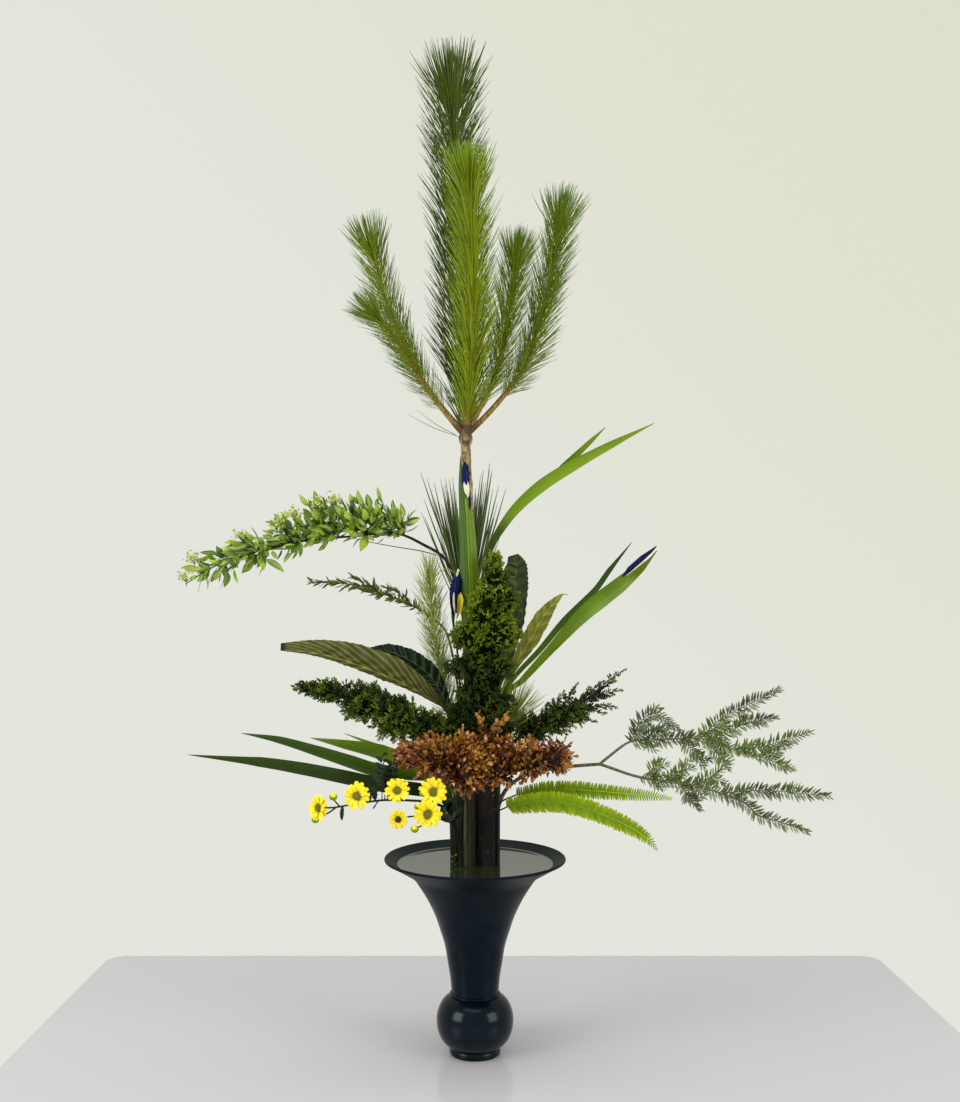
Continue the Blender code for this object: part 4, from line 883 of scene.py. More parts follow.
lesserPines = {
    "rear_pine": {
        "node": "pine_rear_tuft", "twig": darkTwig, "tone": "rear", "needle": "needle", "spacing": 0.12,
        "turnJitter": 20, "leanJitter": 8, "sizeJitter": 0.14, "seed": 51,
        "stem": ([foot(0.2, 2.7), (0.1, 2.9, 34), (-0.5, 5.2, 48), (-1.2, 6.8, 56.5), (-1.7, 7.3, 62.5)],
            [0.28, 0.28, 0.25, 0.22, 0.12]),
        "routes": [([(-1.1, 6.7, 56), (-1.7, 7.2, 60), (-2.1, 7.5, 63.2)], [12.0, 14.6, 14.4], [17, 14, 11]),
            ([(-1, 6.7, 56), (-0.6, 7.2, 60), (-0.2, 7.5, 63.2)], [12.0, 14.6, 14.4], [16, 13, 10])],
    },
    "side_pine": {
        "node": "pine_side_brush", "twig": needleFinish["silver"], "tone": "silver", "needle": "boldNeedle",
        "spacing": 0.034, "turnJitter": 60, "leanJitter": 11, "sizeJitter": 0.18, "seed": 52,
        "stem": ([foot(-1.1, 0.3), (-1.15, 0.5, 35), (-1.9, 1.4, 41), (-3.4, 1.3, 46), (-5, 0.9, 53),
            (-5.9, 0.9, 60), (-6.1, 0.9, 63.5)], [0.24, 0.24, 0.22, 0.2, 0.17, 0.14, 0.08]),
        "routes": [([(-2.7, 1.4, 43.4), (-4, 1.1, 48.2), (-5.2, 0.9, 54), (-5.9, 0.9, 60), (-6.1, 0.9, 63.5)],
            [3.6, 3.8, 3.8, 3.8, 3.4], [42, 36, 34, 33, 18])],
    },
    "right_pine_tuft": {
        "node": "pine_right_tuft", "twig": stalkFinish, "tone": "silver", "needle": "boldNeedle",
        "spacing": 0.021, "turnJitter": 60, "leanJitter": 15, "sizeJitter": 0.2, "seed": 53,
        "stem": ([foot(2.95, -1.4), (3.05, -1.4, 36), (3.7, -1.4, 41), (5, -1, 44.4)], [0.2, 0.2, 0.18, 0.12]),
        "routes": [([(4.2, -1.2, 42.4), (4.7, -1, 43.6), (5.3, -0.9, 45)], [3.6, 5.0, 4.8], [40, 32, 20])],
    },
}


def makeLesserPines():
    for name, pine in lesserPines.items():
        stem = Form(pine["twig"])
        stem.tube(*pine["stem"])
        jitters = {key: pine[key] for key in ("turnJitter", "leanJitter", "sizeJitter", "seed")}
        needles = grow("needles", pine["routes"], shapes[pine["needle"]], needleFinish[pine["tone"]],
            pine["spacing"], **jitters)
        settle(joined(name, needles, stem.item("stem")), "pine_needles", pine["node"])


makePine()
makeLesserPines()
print("pines made")


def keel(deep):
    return lambda t, u: deep * (1 - u * u)


# CAD node, finish, keel, route, half widths and the way it is wide
swords = {
    "iris_center_leaf": ("iris_leaf_center", halfShadedSwordFinish, 0.32,
        [foot(-1.2, -1.9), (-1.2, -2, 32), (-1.05, -1.6, 39), (-0.9, -1.8, 48), (-0.8, -2, 55), (-0.7, -2.3, 61.8),
        (-1.1, -2.8, 70.2), (-1.7, -3.1, 75.6), (-1.9, -3.2, 78.6)],
        [0.2, 0.2, 0.24, 0.4, 0.9, 1.28, 1.0, 0.42, 0.03], (1, 0, 0)),
    "iris_spathe_leaf": ("iris_spathe_right", swordFinish, 0.45,
        [foot(2.1, 1.65), (2.1, 1.7, 36), (2.6, 1.7, 42), (4.7, 1.3, 47.9), (6.1, 0.9, 49), (9.9, -0.5, 53.3),
        (13.7, -2, 57.6), (16.25, -3, 59.9), (18.7, -4, 61.9), (21.2, -5, 64.2), (23.3, -5.5, 66.3)],
        [0.2, 0.2, 0.22, 0.35, 0.4, 0.58, 0.95, 1.08, 1.0, 0.7, 0.03], (-1, 0, 1)),
    "iris_rear_leaf": ("iris_leaf_right_rear", tippedSwordFinish, 0.25,
        [foot(1.4, 2.0), (1.45, 2.1, 36), (2.2, 2.4, 43), (4.6, 2.3, 48.6), (8.7, 2, 53.2), (12, 1.5, 57.2),
        (16, 1, 61.2), (17.9, 0.5, 63.9), (20.8, 0, 67.6)], [0.18, 0.18, 0.22, 0.3, 0.38, 0.44, 0.4, 0.34, 0.03],
        (-1, 0, 1)),
    "iris_left_leaf_1": ("iris_leaf_left_1", darkSwordFinish, 0.2,
        [foot(-2.95, -0.6), (-3, -0.6, 31), (-4.2, -1, 34), (-7.2, -2, 35.1), (-11.7, -3.5, 35.9),
        (-17.2, -6, 37.5), (-22, -8, 38.8), (-26.8, -9.5, 39.8), (-35.4, -11, 40.9)],
        [0.36, 0.5, 0.75, 0.95, 1.0, 0.95, 0.85, 0.68, 0.03], (0.3, -0.25, 1)),
    "iris_left_leaf_2": ("iris_leaf_left_2", tippedSwordFinish, 0.2,
        [foot(-2.85, 0.15), (-2.9, 0.15, 32.5), (-4.6, -0.1, 35.9), (-8.6, -1, 36.9), (-13, -2.5, 37.8),
        (-16.2, -3.5, 39), (-20, -4.5, 40.4), (-24.9, -6, 42.1), (-29.6, -7, 43.1)],
        [0.2, 0.2, 0.4, 0.8, 0.95, 0.9, 0.75, 0.5, 0.03], (0.3, -0.25, 1)),
    "iris_left_leaf_3": ("iris_leaf_left_3", swordFinish, 0.2,
        [foot(-2.6, 0.95), (-2.65, 0.95, 33.5), (-4, 1, 35.9), (-6.6, 0.7, 37.3), (-12.5, -0.3, 39.8),
        (-17.1, -1, 40.9), (-21.6, -2, 41.9)], [0.2, 0.25, 0.6, 0.95, 1.1, 0.66, 0.03], (0.3, -0.25, 1)),
    "iris_left_leaf_4": ("iris_leaf_left_4", swordFinish, 0.2,
        [foot(-2.15, 1.6), (-2.2, 1.6, 34.5), (-3.8, 2, 37.2), (-7.5, 2.4, 38.4), (-11.4, 2.5, 39.6),
        (-17.7, 3, 41.9)], [0.2, 0.2, 0.3, 0.45, 0.5, 0.03], (0.3, -0.25, 1)),
}


bentSword = {
    "leaf": {
        "route": [foot(0.35, 1.7), (0.5, 1.75, 40), (0.8, 1.9, 52), (0.95, 1.9, 60), (1.2, 1.9, 63.2),
            (1.74, 1.9, 65.9), (2.94, 1.5, 68.6), (5.3, 0.8, 71.9), (8.6, 0, 74.9), (12.5, -1, 77.4),
            (17.6, -2.5, 80.1), (23.2, -4, 82.8)],
        "halves": [0.2, 0.2, 0.3, 0.36, 0.38, 0.4, 0.5, 0.68, 0.82, 0.78, 0.5, 0.03],
        "thick": 0.16, "columns": 8, "lift": keel(0.35), "tint": 0.2,
    },
    "secondTip": {
        "route": [(10.2, 0.4, 76.1), (11.6, 0.1, 77.5), (13.4, -0.2, 79.1), (15.4, -0.3, 81), (17.3, -0.3, 82.8)],
        "halves": [0.2, 0.4, 0.42, 0.3, 0.03], "thick": 0.12, "columns": 6, "lift": keel(0.25), "tint": 0.6,
    },
}


def makeSwords():
    for number, (name, (node, finish, deep, route, halves, across)) in enumerate(swords.items()):
        form = Form(finish)
        form.leaf(route, halves, across, thick=0.16, steps=8, columns=8, lift=keel(deep), tint=(number * 0.2) % 1)
        settle(form.item(name), "iris_leaf", node)
    form = Form(bentSwordFinish)
    for part in bentSword.values():
        form.leaf(across=(-1, -0.2, 1), steps=8, **part)
    settle(form.item("iris_upper_right_leaf"), "iris_leaf", "iris_leaf_upper_right")


# A furled iris bud: petals rolled round a core, each ending a little lower than the last
def furled(form, route, radii, petals, turnBy):
    def swell(t, angle, spot):
        return math.sin(3 * angle + turnBy * t) * (0.16 * min(1.0, 3 * t) if petals else 0.1)

    core = form.tube(route, radii, sides=14, steps=6, swell=swell)
    middle, tip = core[len(core) // 2], core[-1]
    way = (tip - middle).normalized()
    side = way.orthogonal().normalized()
    wide = max(radii)
    for k in range(petals):
        out = Matrix.Rotation(math.tau * k / petals, 3, way) @ side
        reach = 1.0 - 0.1 * k
        points = [middle + out * wide * 0.6]
        for share, away in ((0.45, 0.8), (0.8, 0.5), (1.0, 0.1)):
            points.append(middle.lerp(tip, share * reach) + out * wide * away)
        form.leaf(points, [wide * 0.5, wide * 0.85, wide * 0.6, 0.03], way.cross(out), 0.05, columns=4,
            lift=lambda t, u: -0.4 * u * u, twist=0.5)


# Looks: 0 blue, 1 white, 2 gold, 3 green, 4 dark green
# stems: look, route, radii, tint and sides; petals: look, route, half widths, width's direction, thickness, fold
irisFlowers = {
    "iris_upper_bud": {
        "node": "iris_flower_upper",
        "stems": [(3, [(-0.75, -2.45, 57.5), (-0.7, -2.68, 61.8), (-1.05, -3.12, 70.2), (-1.1, -3.3, 73)],
            [0.12, 0.12, 0.13, 0.26], 0.3, 8)],
        "bud": ([(-0.9, -3.3, 73.4), (-1.05, -3.45, 74.4), (-1.2, -3.62, 75.4), (-1.3, -3.72, 76.6),
            (-1.35, -3.74, 77.8)], [0.18, 0.34, 0.52, 0.5, 0.14], 3, 5.0),
        "petals": [
            (0, [(-0.8, -3.75, 73.6), (-0.7, -3.85, 73), (-0.66, -3.85, 72.2), (-0.7, -3.8, 71.5)],
                [0.06, 0.2, 0.18, 0.03], (1, 0.3, 0), 0.05, 0.4),
            (1, [(-1.2, -4.05, 75.5), (-1.15, -4.15, 74.8), (-1.05, -4.1, 74), (-0.9, -3.95, 73.2)],
                [0.18, 0.38, 0.34, 0.05], (1, 0.1, 0.2), 0.05, 0.5),
            (2, [(-1.05, -3.8, 74.4), (-0.88, -3.8, 73.9), (-0.76, -3.8, 73.4)], [0.05, 0.16, 0.04], (1, 0.1, 0.2),
                0.05, 0.5),
        ],
    },
    "iris_lower_bud": {
        "node": "iris_flower_lower",
        "stems": [(4, [foot(-1.75, -1.5), (-1.8, -1.6, 45), (-2.4, -2, 54), (-2.85, -2.1, 57),
            (-2.85, -2.15, 58.4)], [0.17, 0.15, 0.13, 0.16, 0.3], 0.4, 8),
            (3, [(-2.5, -2.5, 63.3), (-3.6, -2.9, 64), (-5, -3, 63.2), (-5.7, -3, 61.2)],
            [0.08, 0.075, 0.07, 0.04], 0.0, 5)],
        "bud": ([(-2.7, -2.12, 58.2), (-2.66, -2.15, 59.6), (-2.42, -2.15, 61.2), (-2.2, -2.15, 62.6),
            (-2.15, -2.15, 63.6)], [0.3, 0.55, 0.85, 0.78, 0.2], 3, 4.0),
        "petals": [
            (0, [(-2.9, -2.8, 60.4), (-2.95, -2.85, 59.6), (-2.85, -2.7, 58.6), (-2.75, -2.5, 57.6)],
                [0.2, 0.34, 0.26, 0.04], (1, 0.2, 0), 0.05, 0.5),
            (2, [(-2, -2.8, 60.9), (-1.9, -3.05, 60), (-2.05, -2.95, 58.7), (-2.4, -2.6, 57.4)],
                [0.18, 0.4, 0.34, 0.04], (1, 0.2, 0.2), 0.06, 0.5),
            (1, [(-2.75, -3.05, 60.9), (-2.8, -3.15, 60.2), (-2.75, -3.05, 59.2), (-2.6, -2.8, 58.2)],
                [0.05, 0.13, 0.14, 0.03], (1, 0.2, 0.2), 0.05, 0.5),
            # the small white petal at the bud's top stands for a pale edge highlight: a painted highlight
            (1, [(-2.5, -2.5, 62.6), (-2.3, -2.75, 63.3), (-2.15, -2.7, 63.9), (-2.05, -2.5, 63.6)],
                [0.05, 0.14, 0.12, 0.03], (1, 0.2, -0.6), 0.05, 0.5),
        ],
    },
    "iris_right_bud": {
        "node": "iris_bud_right", "stems": [],
        "bud": ([(18.9, -4.9, 62.9), (19.8, -5.3, 63.8), (21.4, -5.9, 65.3), (23.1, -6.2, 66.8)],
            [0.05, 0.38, 0.42, 0.06], 0, 5.0),
        "petals": [(1, [(19.4, -5.3, 63.1), (20.8, -5.9, 64.3), (22.2, -6.3, 65.5), (23.5, -6.2, 66.8)],
            [0.04, 0.12, 0.14, 0.03], (1, -0.3, -1), 0.06, 0.4)],
    },
}


def makeIrisFlowers():
    for name, flower in irisFlowers.items():
        form = Form(bluePetal, whitePetal, goldPetal, swordFinish, darkSwordFinish)
        for look, route, radii, tint, sides in flower["stems"]:
            form.look = look
            form.tube(route, radii, tint=tint, sides=sides)
        form.look = 0
        furled(form, *flower["bud"])
        for look, route, halves, across, thick, fold in flower["petals"]:
            form.look = look
            form.leaf(route, halves, across, thick, lift=keel(fold))
        settle(form.item(name), "iris_flower", flower["node"])


makeSwords()
makeIrisFlowers()
print("iris made")


# A loquat leaf is quilted between its side veins and has a finely toothed edge
def quilt(ribs, slant, deep, roll=0.0):
    def lift(t, u):
        swell = math.sin(math.tau * (t * ribs - abs(u) * slant))
        return deep * swell * (1 - 0.4 * abs(u)) * min(1, 6 * t, 5 * (1 - t)) + roll * u * u
    return lift


def toothed(teeth, deep):
    return lambda t: 1 + deep * (2 * abs((t * teeth) % 1 - 0.5) - 0.5) * min(1, 8 * t)


# CAD node, finish, the way it is wide, ribs, rolled edge, route and half widths
loquatLeaves = {
    "loquat_left_leaf": ("loquat_leaf_left", loquatUnder, (0.1, -0.35, 1), 12, -0.12,
        [(-3.44, -0.66, 44.67), (-4.4, -1.6, 46.2), (-7.2, -3, 48.7), (-10.9, -4.5, 51), (-16, -6.4, 53),
        (-20.1, -8, 53.9), (-24.3, -9, 54.1)], [0.1, 0.3, 1.2, 1.85, 1.6, 1.1, 0.5]),
    "loquat_front_leaf": ("loquat_leaf_front", loquatTop, (1, -0.5, 1), 12, 0.1,
        [(-3.31, -0.06, 44.07), (-4.2, -0.7, 47.2), (-6, -1.2, 50.1), (-8.6, -1.8, 52.1), (-11.6, -2.4, 53.3),
        (-14.4, -3, 53.5)], [0.08, 0.8, 1.5, 1.65, 1.2, 0.1]),
    "loquat_back_leaf": ("loquat_leaf_back", loquatDark, (1, 0, 0), 9, 0.1,
        [(3.2, 4.44, 47.49), (3.9, 5.2, 51), (5, 5.5, 57), (5.5, 5.4, 62), (5.6, 5.3, 64.6), (5.2, 5.2, 66)],
        [0.1, 0.9, 1.75, 1.8, 1.5, 0.7]),
    "loquat_right_leaf": ("loquat_leaf_right", loquatYellow, (1, -0.8, -0.6), 10, 0.12,
        [(3.55, 4.25, 47.3), (5.4, 4, 51), (7.5, 4, 54.4), (9.2, 3.8, 57.4), (10.6, 3.5, 59.4), (11.8, 3.2, 60.6),
        (12.5, 3.1, 60.6)], [0.15, 0.7, 1.4, 1.3, 0.7, 0.14, 0.06]),
}


loquatRings = 110  # rings along a leaf, fine enough for its ribs and teeth
loquatStems = {
    "front": ([foot(-1.9, 0.4), (-1.9, 0.4, 38), (-2.6, 0.1, 42), (-3.4, -0.6, 44.6)], [0.3, 0.28, 0.26, 0.24]),
    "back": ([foot(1.7, 2.75), (1.75, 2.9, 36), (2.4, 3.8, 43), (3.2, 4.4, 47.4)], [0.26, 0.26, 0.24, 0.22]),
}


def makeLoquat():
    for name, (node, finish, across, ribs, roll, route, halves) in loquatLeaves.items():
        form = Form(finish)
        form.leaf(route, halves, across, thick=0.09, steps=loquatRings // len(route), columns=16,
            lift=quilt(ribs, 0.85, 0.085, roll), edge=toothed(ribs * 2.5, 0.07))
        settle(form.item(name), "loquat_leaf", node)
    for side, (route, radii) in loquatStems.items():
        form = Form(darkTwig)
        form.tube(route, radii, swell=barkSwell(0.12, 1.5))
        settle(form.item(f"loquat_{side}_stem"), "twig", "loquat_stem_" + side)


makeLoquat()
print("loquat made")


# Juniper, boxwood and spirea fill rounded masses with branchlets
# spread: the gap between branchlets; flow: which way they point; core: how big the dark ball of painted shade in
# each mass is, as a share of the mass
juniperParts = {
    "juniper_center": {
        "seed": 61, "spread": 1.1, "size": 1.25, "lean": 44, "spacing": 0.3, "flow": (0, 0, 0.7), "core": 0.75,
        "finish": juniperFinish,
        "stem": ([foot(-0.45, -0.9), (-0.45, -0.95, 34), (0, -2, 39), (0.9, -3.5, 43.5), (1.3, -3.9, 50),
            (1.6, -4.2, 57), (2.2, -4.6, 62)], [0.48, 0.48, 0.45, 0.42, 0.34, 0.24, 0.1]),
        "masses": [((1.4, -4.8, 43.6), (4.4, 2.5, 2.4)), ((-2.4, -5.2, 43.4), (2.2, 2.1, 2)),
            ((0.2, -4.8, 47.8), (2.9, 1.9, 1.7)), ((3.2, -4.4, 46.6), (1.5, 1.5, 1.6)),
            ((-1.6, -5.1, 45.6), (1.9, 1.7, 1.6)), ((-0.6, -5.4, 51.4), (3.3, 2.2, 1.7)),
            ((2.8, -5, 51.2), (2.4, 1.9, 1.5)), ((-0.7, -5.5, 55.4), (2.7, 2, 1.9)),
            ((3.2, -5.2, 55.6), (2.8, 2.1, 2.2)), ((1.8, -5.2, 59.2), (2.8, 2.2, 2.5)),
            ((4, -4.8, 59.8), (1.7, 1.5, 1.7)), ((2.6, -4.8, 62.6), (1.8, 1.5, 1.9)),
            ((2.6, -4.6, 64.8), (0.8, 0.8, 1.5))],
        "shadeBalls": [((1, -4.1, 53.6), (2.4, 1.5, 2.2)), ((0.7, -4, 49.4), (2.5, 1.6, 2.4)),
            ((0.7, -3.9, 45.6), (2.8, 1.6, 2.1)), ((1.6, -4.4, 57.4), (1.9, 1.3, 2.2))],
    },
    "juniper_left": {
        "seed": 62, "spread": 1.05, "size": 1.15, "core": 0.6, "lean": 34, "spacing": 0.27, "flow": (-1.6, 0, 0.3),
        "finish": leftJuniperFinish,
        "stem": ([foot(-2.3, -0.5), (-2.35, -0.5, 36), (-2.8, -2, 39.5), (-4.4, -4.6, 42), (-8.2, -6.6, 44.4),
            (-13.3, -7.8, 46.4), (-18, -8.3, 48.2), (-21.6, -8.7, 49)],
            [0.4, 0.4, 0.34, 0.28, 0.26, 0.22, 0.16, 0.06]),
        "masses": [((-6.2, -5.7, 43.6), (2.8, 2.4, 2.5)), ((-10, -7.2, 45.2), (3.2, 2.4, 3.1)),
            ((-14, -8, 47.1), (3.2, 2.2, 2.7)), ((-18.2, -8.5, 48.5), (2.4, 1.6, 1.5)),
            ((-21, -8.7, 48.9), (1.8, 1, 0.7))],
    },
    "juniper_right": {
        "seed": 63, "spread": 1.0, "size": 1.05, "core": 0.4, "lean": 30, "spacing": 0.27, "flow": (1.3, 0, 0.9),
        "finish": darkJuniperFinish,
        "stem": ([foot(3.0, 1.35), (3.1, 1.3, 35), (4.2, 0.5, 39.8), (7.2, -0.8, 42.7), (11.1, -2, 44.8),
            (15, -3, 47.3), (18, -3.7, 49.6)], [0.3, 0.3, 0.3, 0.28, 0.25, 0.2, 0.08]),
        "tips": [((19, -3.9, 50.7), (14.4, -2.9, 46.8)), ((18.7, -3.6, 48.2), (14, -2.8, 46.4)),
            ((17.9, -3.7, 46.1), (13.2, -2.6, 45.8)), ((16.2, -4.2, 49.2), (13.2, -2.6, 45.8)),
            ((13.2, -2.2, 48.7), (11, -2, 44.8)), ((11.4, -3, 47.8), (9.6, -1.6, 44)),
            ((15.4, -3.4, 44.2), (11.6, -2.2, 44.6)), ((17.2, -2.6, 47.4), (14, -2.8, 46.4)),
            ((14.8, -3.8, 47.8), (12, -2.3, 45.2)), ((17.8, -4.4, 49.4), (15, -3, 47.3)),
            ((16.6, -4, 45.4), (12.6, -2.5, 45.4)), ((15.8, -2.2, 48.6), (12.6, -2.5, 45.4)),
            ((13.8, -4.4, 46.4), (11, -2, 44.8)), ((12.6, -4, 43.6), (9.4, -1.5, 43.9))],
        "masses": [((7.7, -1, 42.9), (2.6, 2.1, 2.1)), ((10.6, -2, 44.4), (2.3, 2, 2.2)),
            ((13.2, -2.8, 45.4), (1.8, 1.6, 1.6))],
    },
}


def spine(points, low=0.0):
    line, _ = smoothRoute(points, [[0]] * len(points), 8)
    return [p for p in line if p.z > low]


# Dark lumpy balls in the middle of dense masses: painted shade inside the foliage
def shadeBalls(form, masses, scale):
    for centre, sizes in masses:
        form.ball(centre, [r * scale for r in sizes], swell=lambda way: 1 + 0.5 * noise.noise(way * 2.3))


def makeJuniper():
    for name, part in juniperParts.items():
        points, radii = part["stem"]
        routes, stems = branchlets(part, spine(points, 40.0))
        for tip, root in part.get("tips", []):
            tip, root = Vector(tip), Vector(root)
            middle = root.lerp(tip, 0.55) + upwards * 0.25
            routes.append(([root.lerp(tip, 0.12), middle, tip], [1.0, 1.1, 0.7], [30, 28, 10]))
            stems.append([root, root.lerp(tip, 0.12), middle, tip])
        form = Form(darkTwig, part["finish"], shadeFinish)
        form.tube(points, radii, swell=barkSwell(0.12, 1.5))
        twigs(form, stems, 0.09, 3)
        form.look = 2
        shadeBalls(form, part["masses"], part["core"])
        shadeBalls(form, part.get("shadeBalls", []), 1)
        scales = grow("scales", routes, shapes["scale"], part["finish"], part["spacing"], turnJitter=40,
            leanJitter=14, sizeJitter=0.25, rollJitter=180, seed=part["seed"], steps=3)
        settle(joined(name + "_foliage", scales, form.item("stems")), "juniper", name)


boxFork, boxTop = (-1, -4.2, 34.6), (1, -7.6, 41.5)
boxwood = {
    "seed": 71, "spread": 0.95, "size": 0.78, "core": 0.48, "lean": 52,
    "masses": [((-1, -8, 39.6), (3.8, 3, 4.4)), ((-5.2, -8.3, 40.2), (3, 2.5, 3.4)),
        ((-8.3, -8.8, 40.6), (2.1, 1.6, 2)), ((3.2, -7.6, 39.8), (2.8, 2.4, 3.8)),
        ((6.8, -7.3, 39.8), (2.6, 2, 3)), ((10.2, -6.8, 40), (2.5, 1.7, 2.7))],
    "stems": [([foot(-0.75, -2.2), (-0.8, -2.3, 31), boxFork, (-1.4, -7, 37.2), (-4.2, -8.4, 39.5)],
        [0.28, 0.28, 0.28, 0.25, 0.18]), ([boxFork, (1.8, -6.3, 36.8), (6, -7.3, 38.6), (9.8, -7, 39.4)],
        [0.26, 0.24, 0.2, 0.16])],
    "tips": [(0.45, -7.6, 45.6), (3.9, -7.4, 45.4), (0.9, -7.8, 44.6), (3.2, -7.6, 44.4)],
}


def makeBoxwood():
    part = boxwood
    spines = [spot for points, _ in part["stems"] for spot in spine(points, 36.0)]
    routes, stems = branchlets(part, spines)
    root = Vector(boxTop)
    for tip in part["tips"]:
        routes.append(([root, root.lerp(Vector(tip), 0.6), tip], [1.0, 0.95, 0.7], [50, 45, 20]))
        stems.append([root, root.lerp(Vector(tip), 0.3), root.lerp(Vector(tip), 0.6), tip])
    form = Form(darkTwig)
    for points, radii in part["stems"]:
        form.tube(points, radii)
    twigs(form, stems, 0.07, 3)
    # dark balls in the twig finish inside the masses: painted shade
    shadeBalls(form, part["masses"], part["core"])
    leaves = grow("leaves", routes, shapes["boxLeaf"], boxFinish, 0.32, turnJitter=50, leanJitter=30,
        sizeJitter=0.25, rollJitter=110, seed=part["seed"], steps=3)
    settle(joined("boxwood_foliage", leaves, form.item("stems")), "boxwood", "boxwood")


spirea = {
    "seed": 81, "spread": 1.5, "size": 2.15, "lean": 62, "flow": (-1.4, 0, 0), "start": 0.4, "florets": 34,
    "branch": ([foot(-0.6, 2.2), (-0.8, 2.6, 45), (-1.6, 3.3, 59), (-3.9, 3.2, 65.2), (-6.7, 2.5, 67.2),
        (-10.6, 1, 68.8), (-16.5, -0.5, 68.3), (-22.9, -1.5, 67.6), (-29.3, -2.5, 66), (-33.8, -3.2, 64.3),
        (-37.4, -4, 62)], [0.24, 0.22, 0.22, 0.2, 0.2, 0.17, 0.14, 0.12, 0.1, 0.08, 0.05]),
    "twig": ([(-5, 2.9, 65.9), (-7.4, 2.2, 66.5), (-10.6, 1.4, 67), (-14, 0.4, 67.6), (-16.5, 0, 68.2)],
        [0.07, 0.07, 0.06, 0.05, 0.04]),
    "sprout": ([(-9.9, 0.9, 69.6), (-11.4, 0.6, 71.4), (-12.4, 0.5, 73)], [0.06, 0.05, 0.05]),
    "sproutLeaves": ([(-12.2, 0.5, 72.4), (-12.5, 0.5, 73.2)], [1.8, 2.3], [16, 2]),
    "hanging": [((-34.5, -3.4, 63.8), (-35.9, -3.3, 61)), ((-33.2, -3.1, 64.4), (-34.8, -3.1, 61.4)),
        ((-31, -2.8, 65), (-33.2, -2.8, 61.3))],
    "masses": [((-11, 0.8, 70), (2.8, 1.7, 2.2)), ((-15.5, -0.4, 70.4), (3, 1.8, 2.9)),
        ((-20, -1.2, 69.9), (3, 1.8, 3.1)), ((-24.5, -1.8, 68.2), (3, 1.7, 2.6)),
        ((-29, -2.5, 66.2), (3.2, 1.6, 2.2)), ((-33, -3.2, 64.6), (2.4, 1.4, 1.7)),
        ((-35.2, -3.6, 63.4), (1.2, 1, 0.9))],
    "blossom": [(-37.3, -4, 62.2), (-36.3, -3.6, 64.6), (-30.3, -2.6, 67.6), (-24.9, -2.2, 69.6),
        (-23.6, -2, 70.5), (-25.9, -2, 69), (-20.6, -1.6, 71.7), (-18.6, -1.4, 72.3)],
}


# A small five-petalled flower
def florets():
    floret = Form()
    for k in range(5):
        one = Form()
        one.leaf([(0, 0, 0), (0, 0.02, 0.12), (0, 0, 0.22)], [0.02, 0.08, 0.02], (1, 0, 0), 0.03, steps=1,
            columns=2)
        floret.add(one, Matrix.Rotation(math.tau * k / 5, 4, "Z") @ Matrix.Rotation(math.radians(62), 4, "X"))
    floret.ball((0, 0, 0.02), (0.06, 0.06, 0.06), 3, 5)
    return floret


def makeSpirea():
    part = spirea
    routes, stems = branchlets(part, spine(part["branch"][0], 60.0))
    form = Form(darkTwig, blossomFinish, stalkFinish)
    form.tube(*part["branch"], swell=barkSwell(0.15, 1.4))
    form.tube(*part["twig"], sides=5)
    form.look = 2
    form.tube(*part["sprout"], sides=5)
    for root, tip in part["hanging"]:
        middle = Vector(root).lerp(Vector(tip), 0.5) + Vector((-0.3, 0, 0.1))
        form.tube([root, middle, tip], [0.04, 0.035, 0.02], sides=4)
    twigs(form, stems, 0.06, 3)
    floret = florets()
    chance = random.Random(5)
    for centre in part["blossom"]:
        centre = Vector(centre)
        for k in range(part["florets"]):
            way = onSphere(1 - 1.5 * (k + 0.5) / part["florets"], k * goldenTurn)
            spot = centre + Vector((0, -1.1, 0.7)) + way * chance.uniform(0.2, 1.2)
            home = Matrix.Translation(spot) @ upwards.rotation_difference(way).to_matrix().to_4x4()
            form.look = 1
            form.add(floret, home @ Matrix.Scale(chance.uniform(0.9, 1.3), 4), chance.random())
            if k % 3 == 0:
                form.look = 2
                form.tube([centre - upwards * 0.5, centre, spot], [0.03, 0.03, 0.02], sides=3, steps=2)
    leaves = grow("leaves", routes, shapes["broadLeaf"], spireaFinish, 0.8, turnJitter=50, leanJitter=28,
        sizeJitter=0.3, rollJitter=50, seed=part["seed"], steps=3)
    sprout = grow("sprout", [part["sproutLeaves"]], shapes["smallLeaf"], spireaFinish, 0.4, seed=82)
    settle(joined("spirea_foliage", leaves, sprout, form.item("stems")), "spirea", "spirea_branch")


darkSprig = {
    "seed": 83, "spacing": 0.17,
    "stem": ([foot(-1.4, 2.5), (-1.6, 2.9, 40), (-2.6, 3.6, 50), (-3.8, 3.8, 55.3), (-5.6, 3.8, 57.3),
        (-8.8, 3.8, 59.3), (-12.7, 3.8, 60.8), (-16.9, 3.8, 62), (-22.3, 3.8, 62.3)],
        [0.18, 0.17, 0.15, 0.14, 0.13, 0.12, 0.1, 0.08, 0.04]),
    "leafy": ([1.1, 1.5, 1.5, 1.4, 0.9], [60, 58, 55, 55, 30]),
    "twigs": [([(-12.8, 3.8, 60.8), (-14.6, 3.7, 62), (-16.6, 3.6, 63)], [1.4, 1.4, 0.9], [55, 50, 25]),
        ([(-8.8, 3.8, 59.4), (-10.4, 3.6, 60.8), (-12, 3.5, 61.5)], [1.2, 1.2, 0.8], [55, 50, 25])],
}


def makeDarkSprig():
    points, radii = darkSprig["stem"]
    form = Form(darkTwig)
    form.tube(points, radii)
    routes = [(points[4:], *darkSprig["leafy"]), *darkSprig["twigs"]]
    leaves = grow("leaves", routes, shapes["smallLeaf"], sprigFinish, darkSprig["spacing"], turnJitter=60,
        leanJitter=30, sizeJitter=0.4, rollJitter=60, seed=darkSprig["seed"])
    settle(joined("dark_sprig_foliage", leaves, form.item("stems")), "dark_sprig", "dark_sprig")


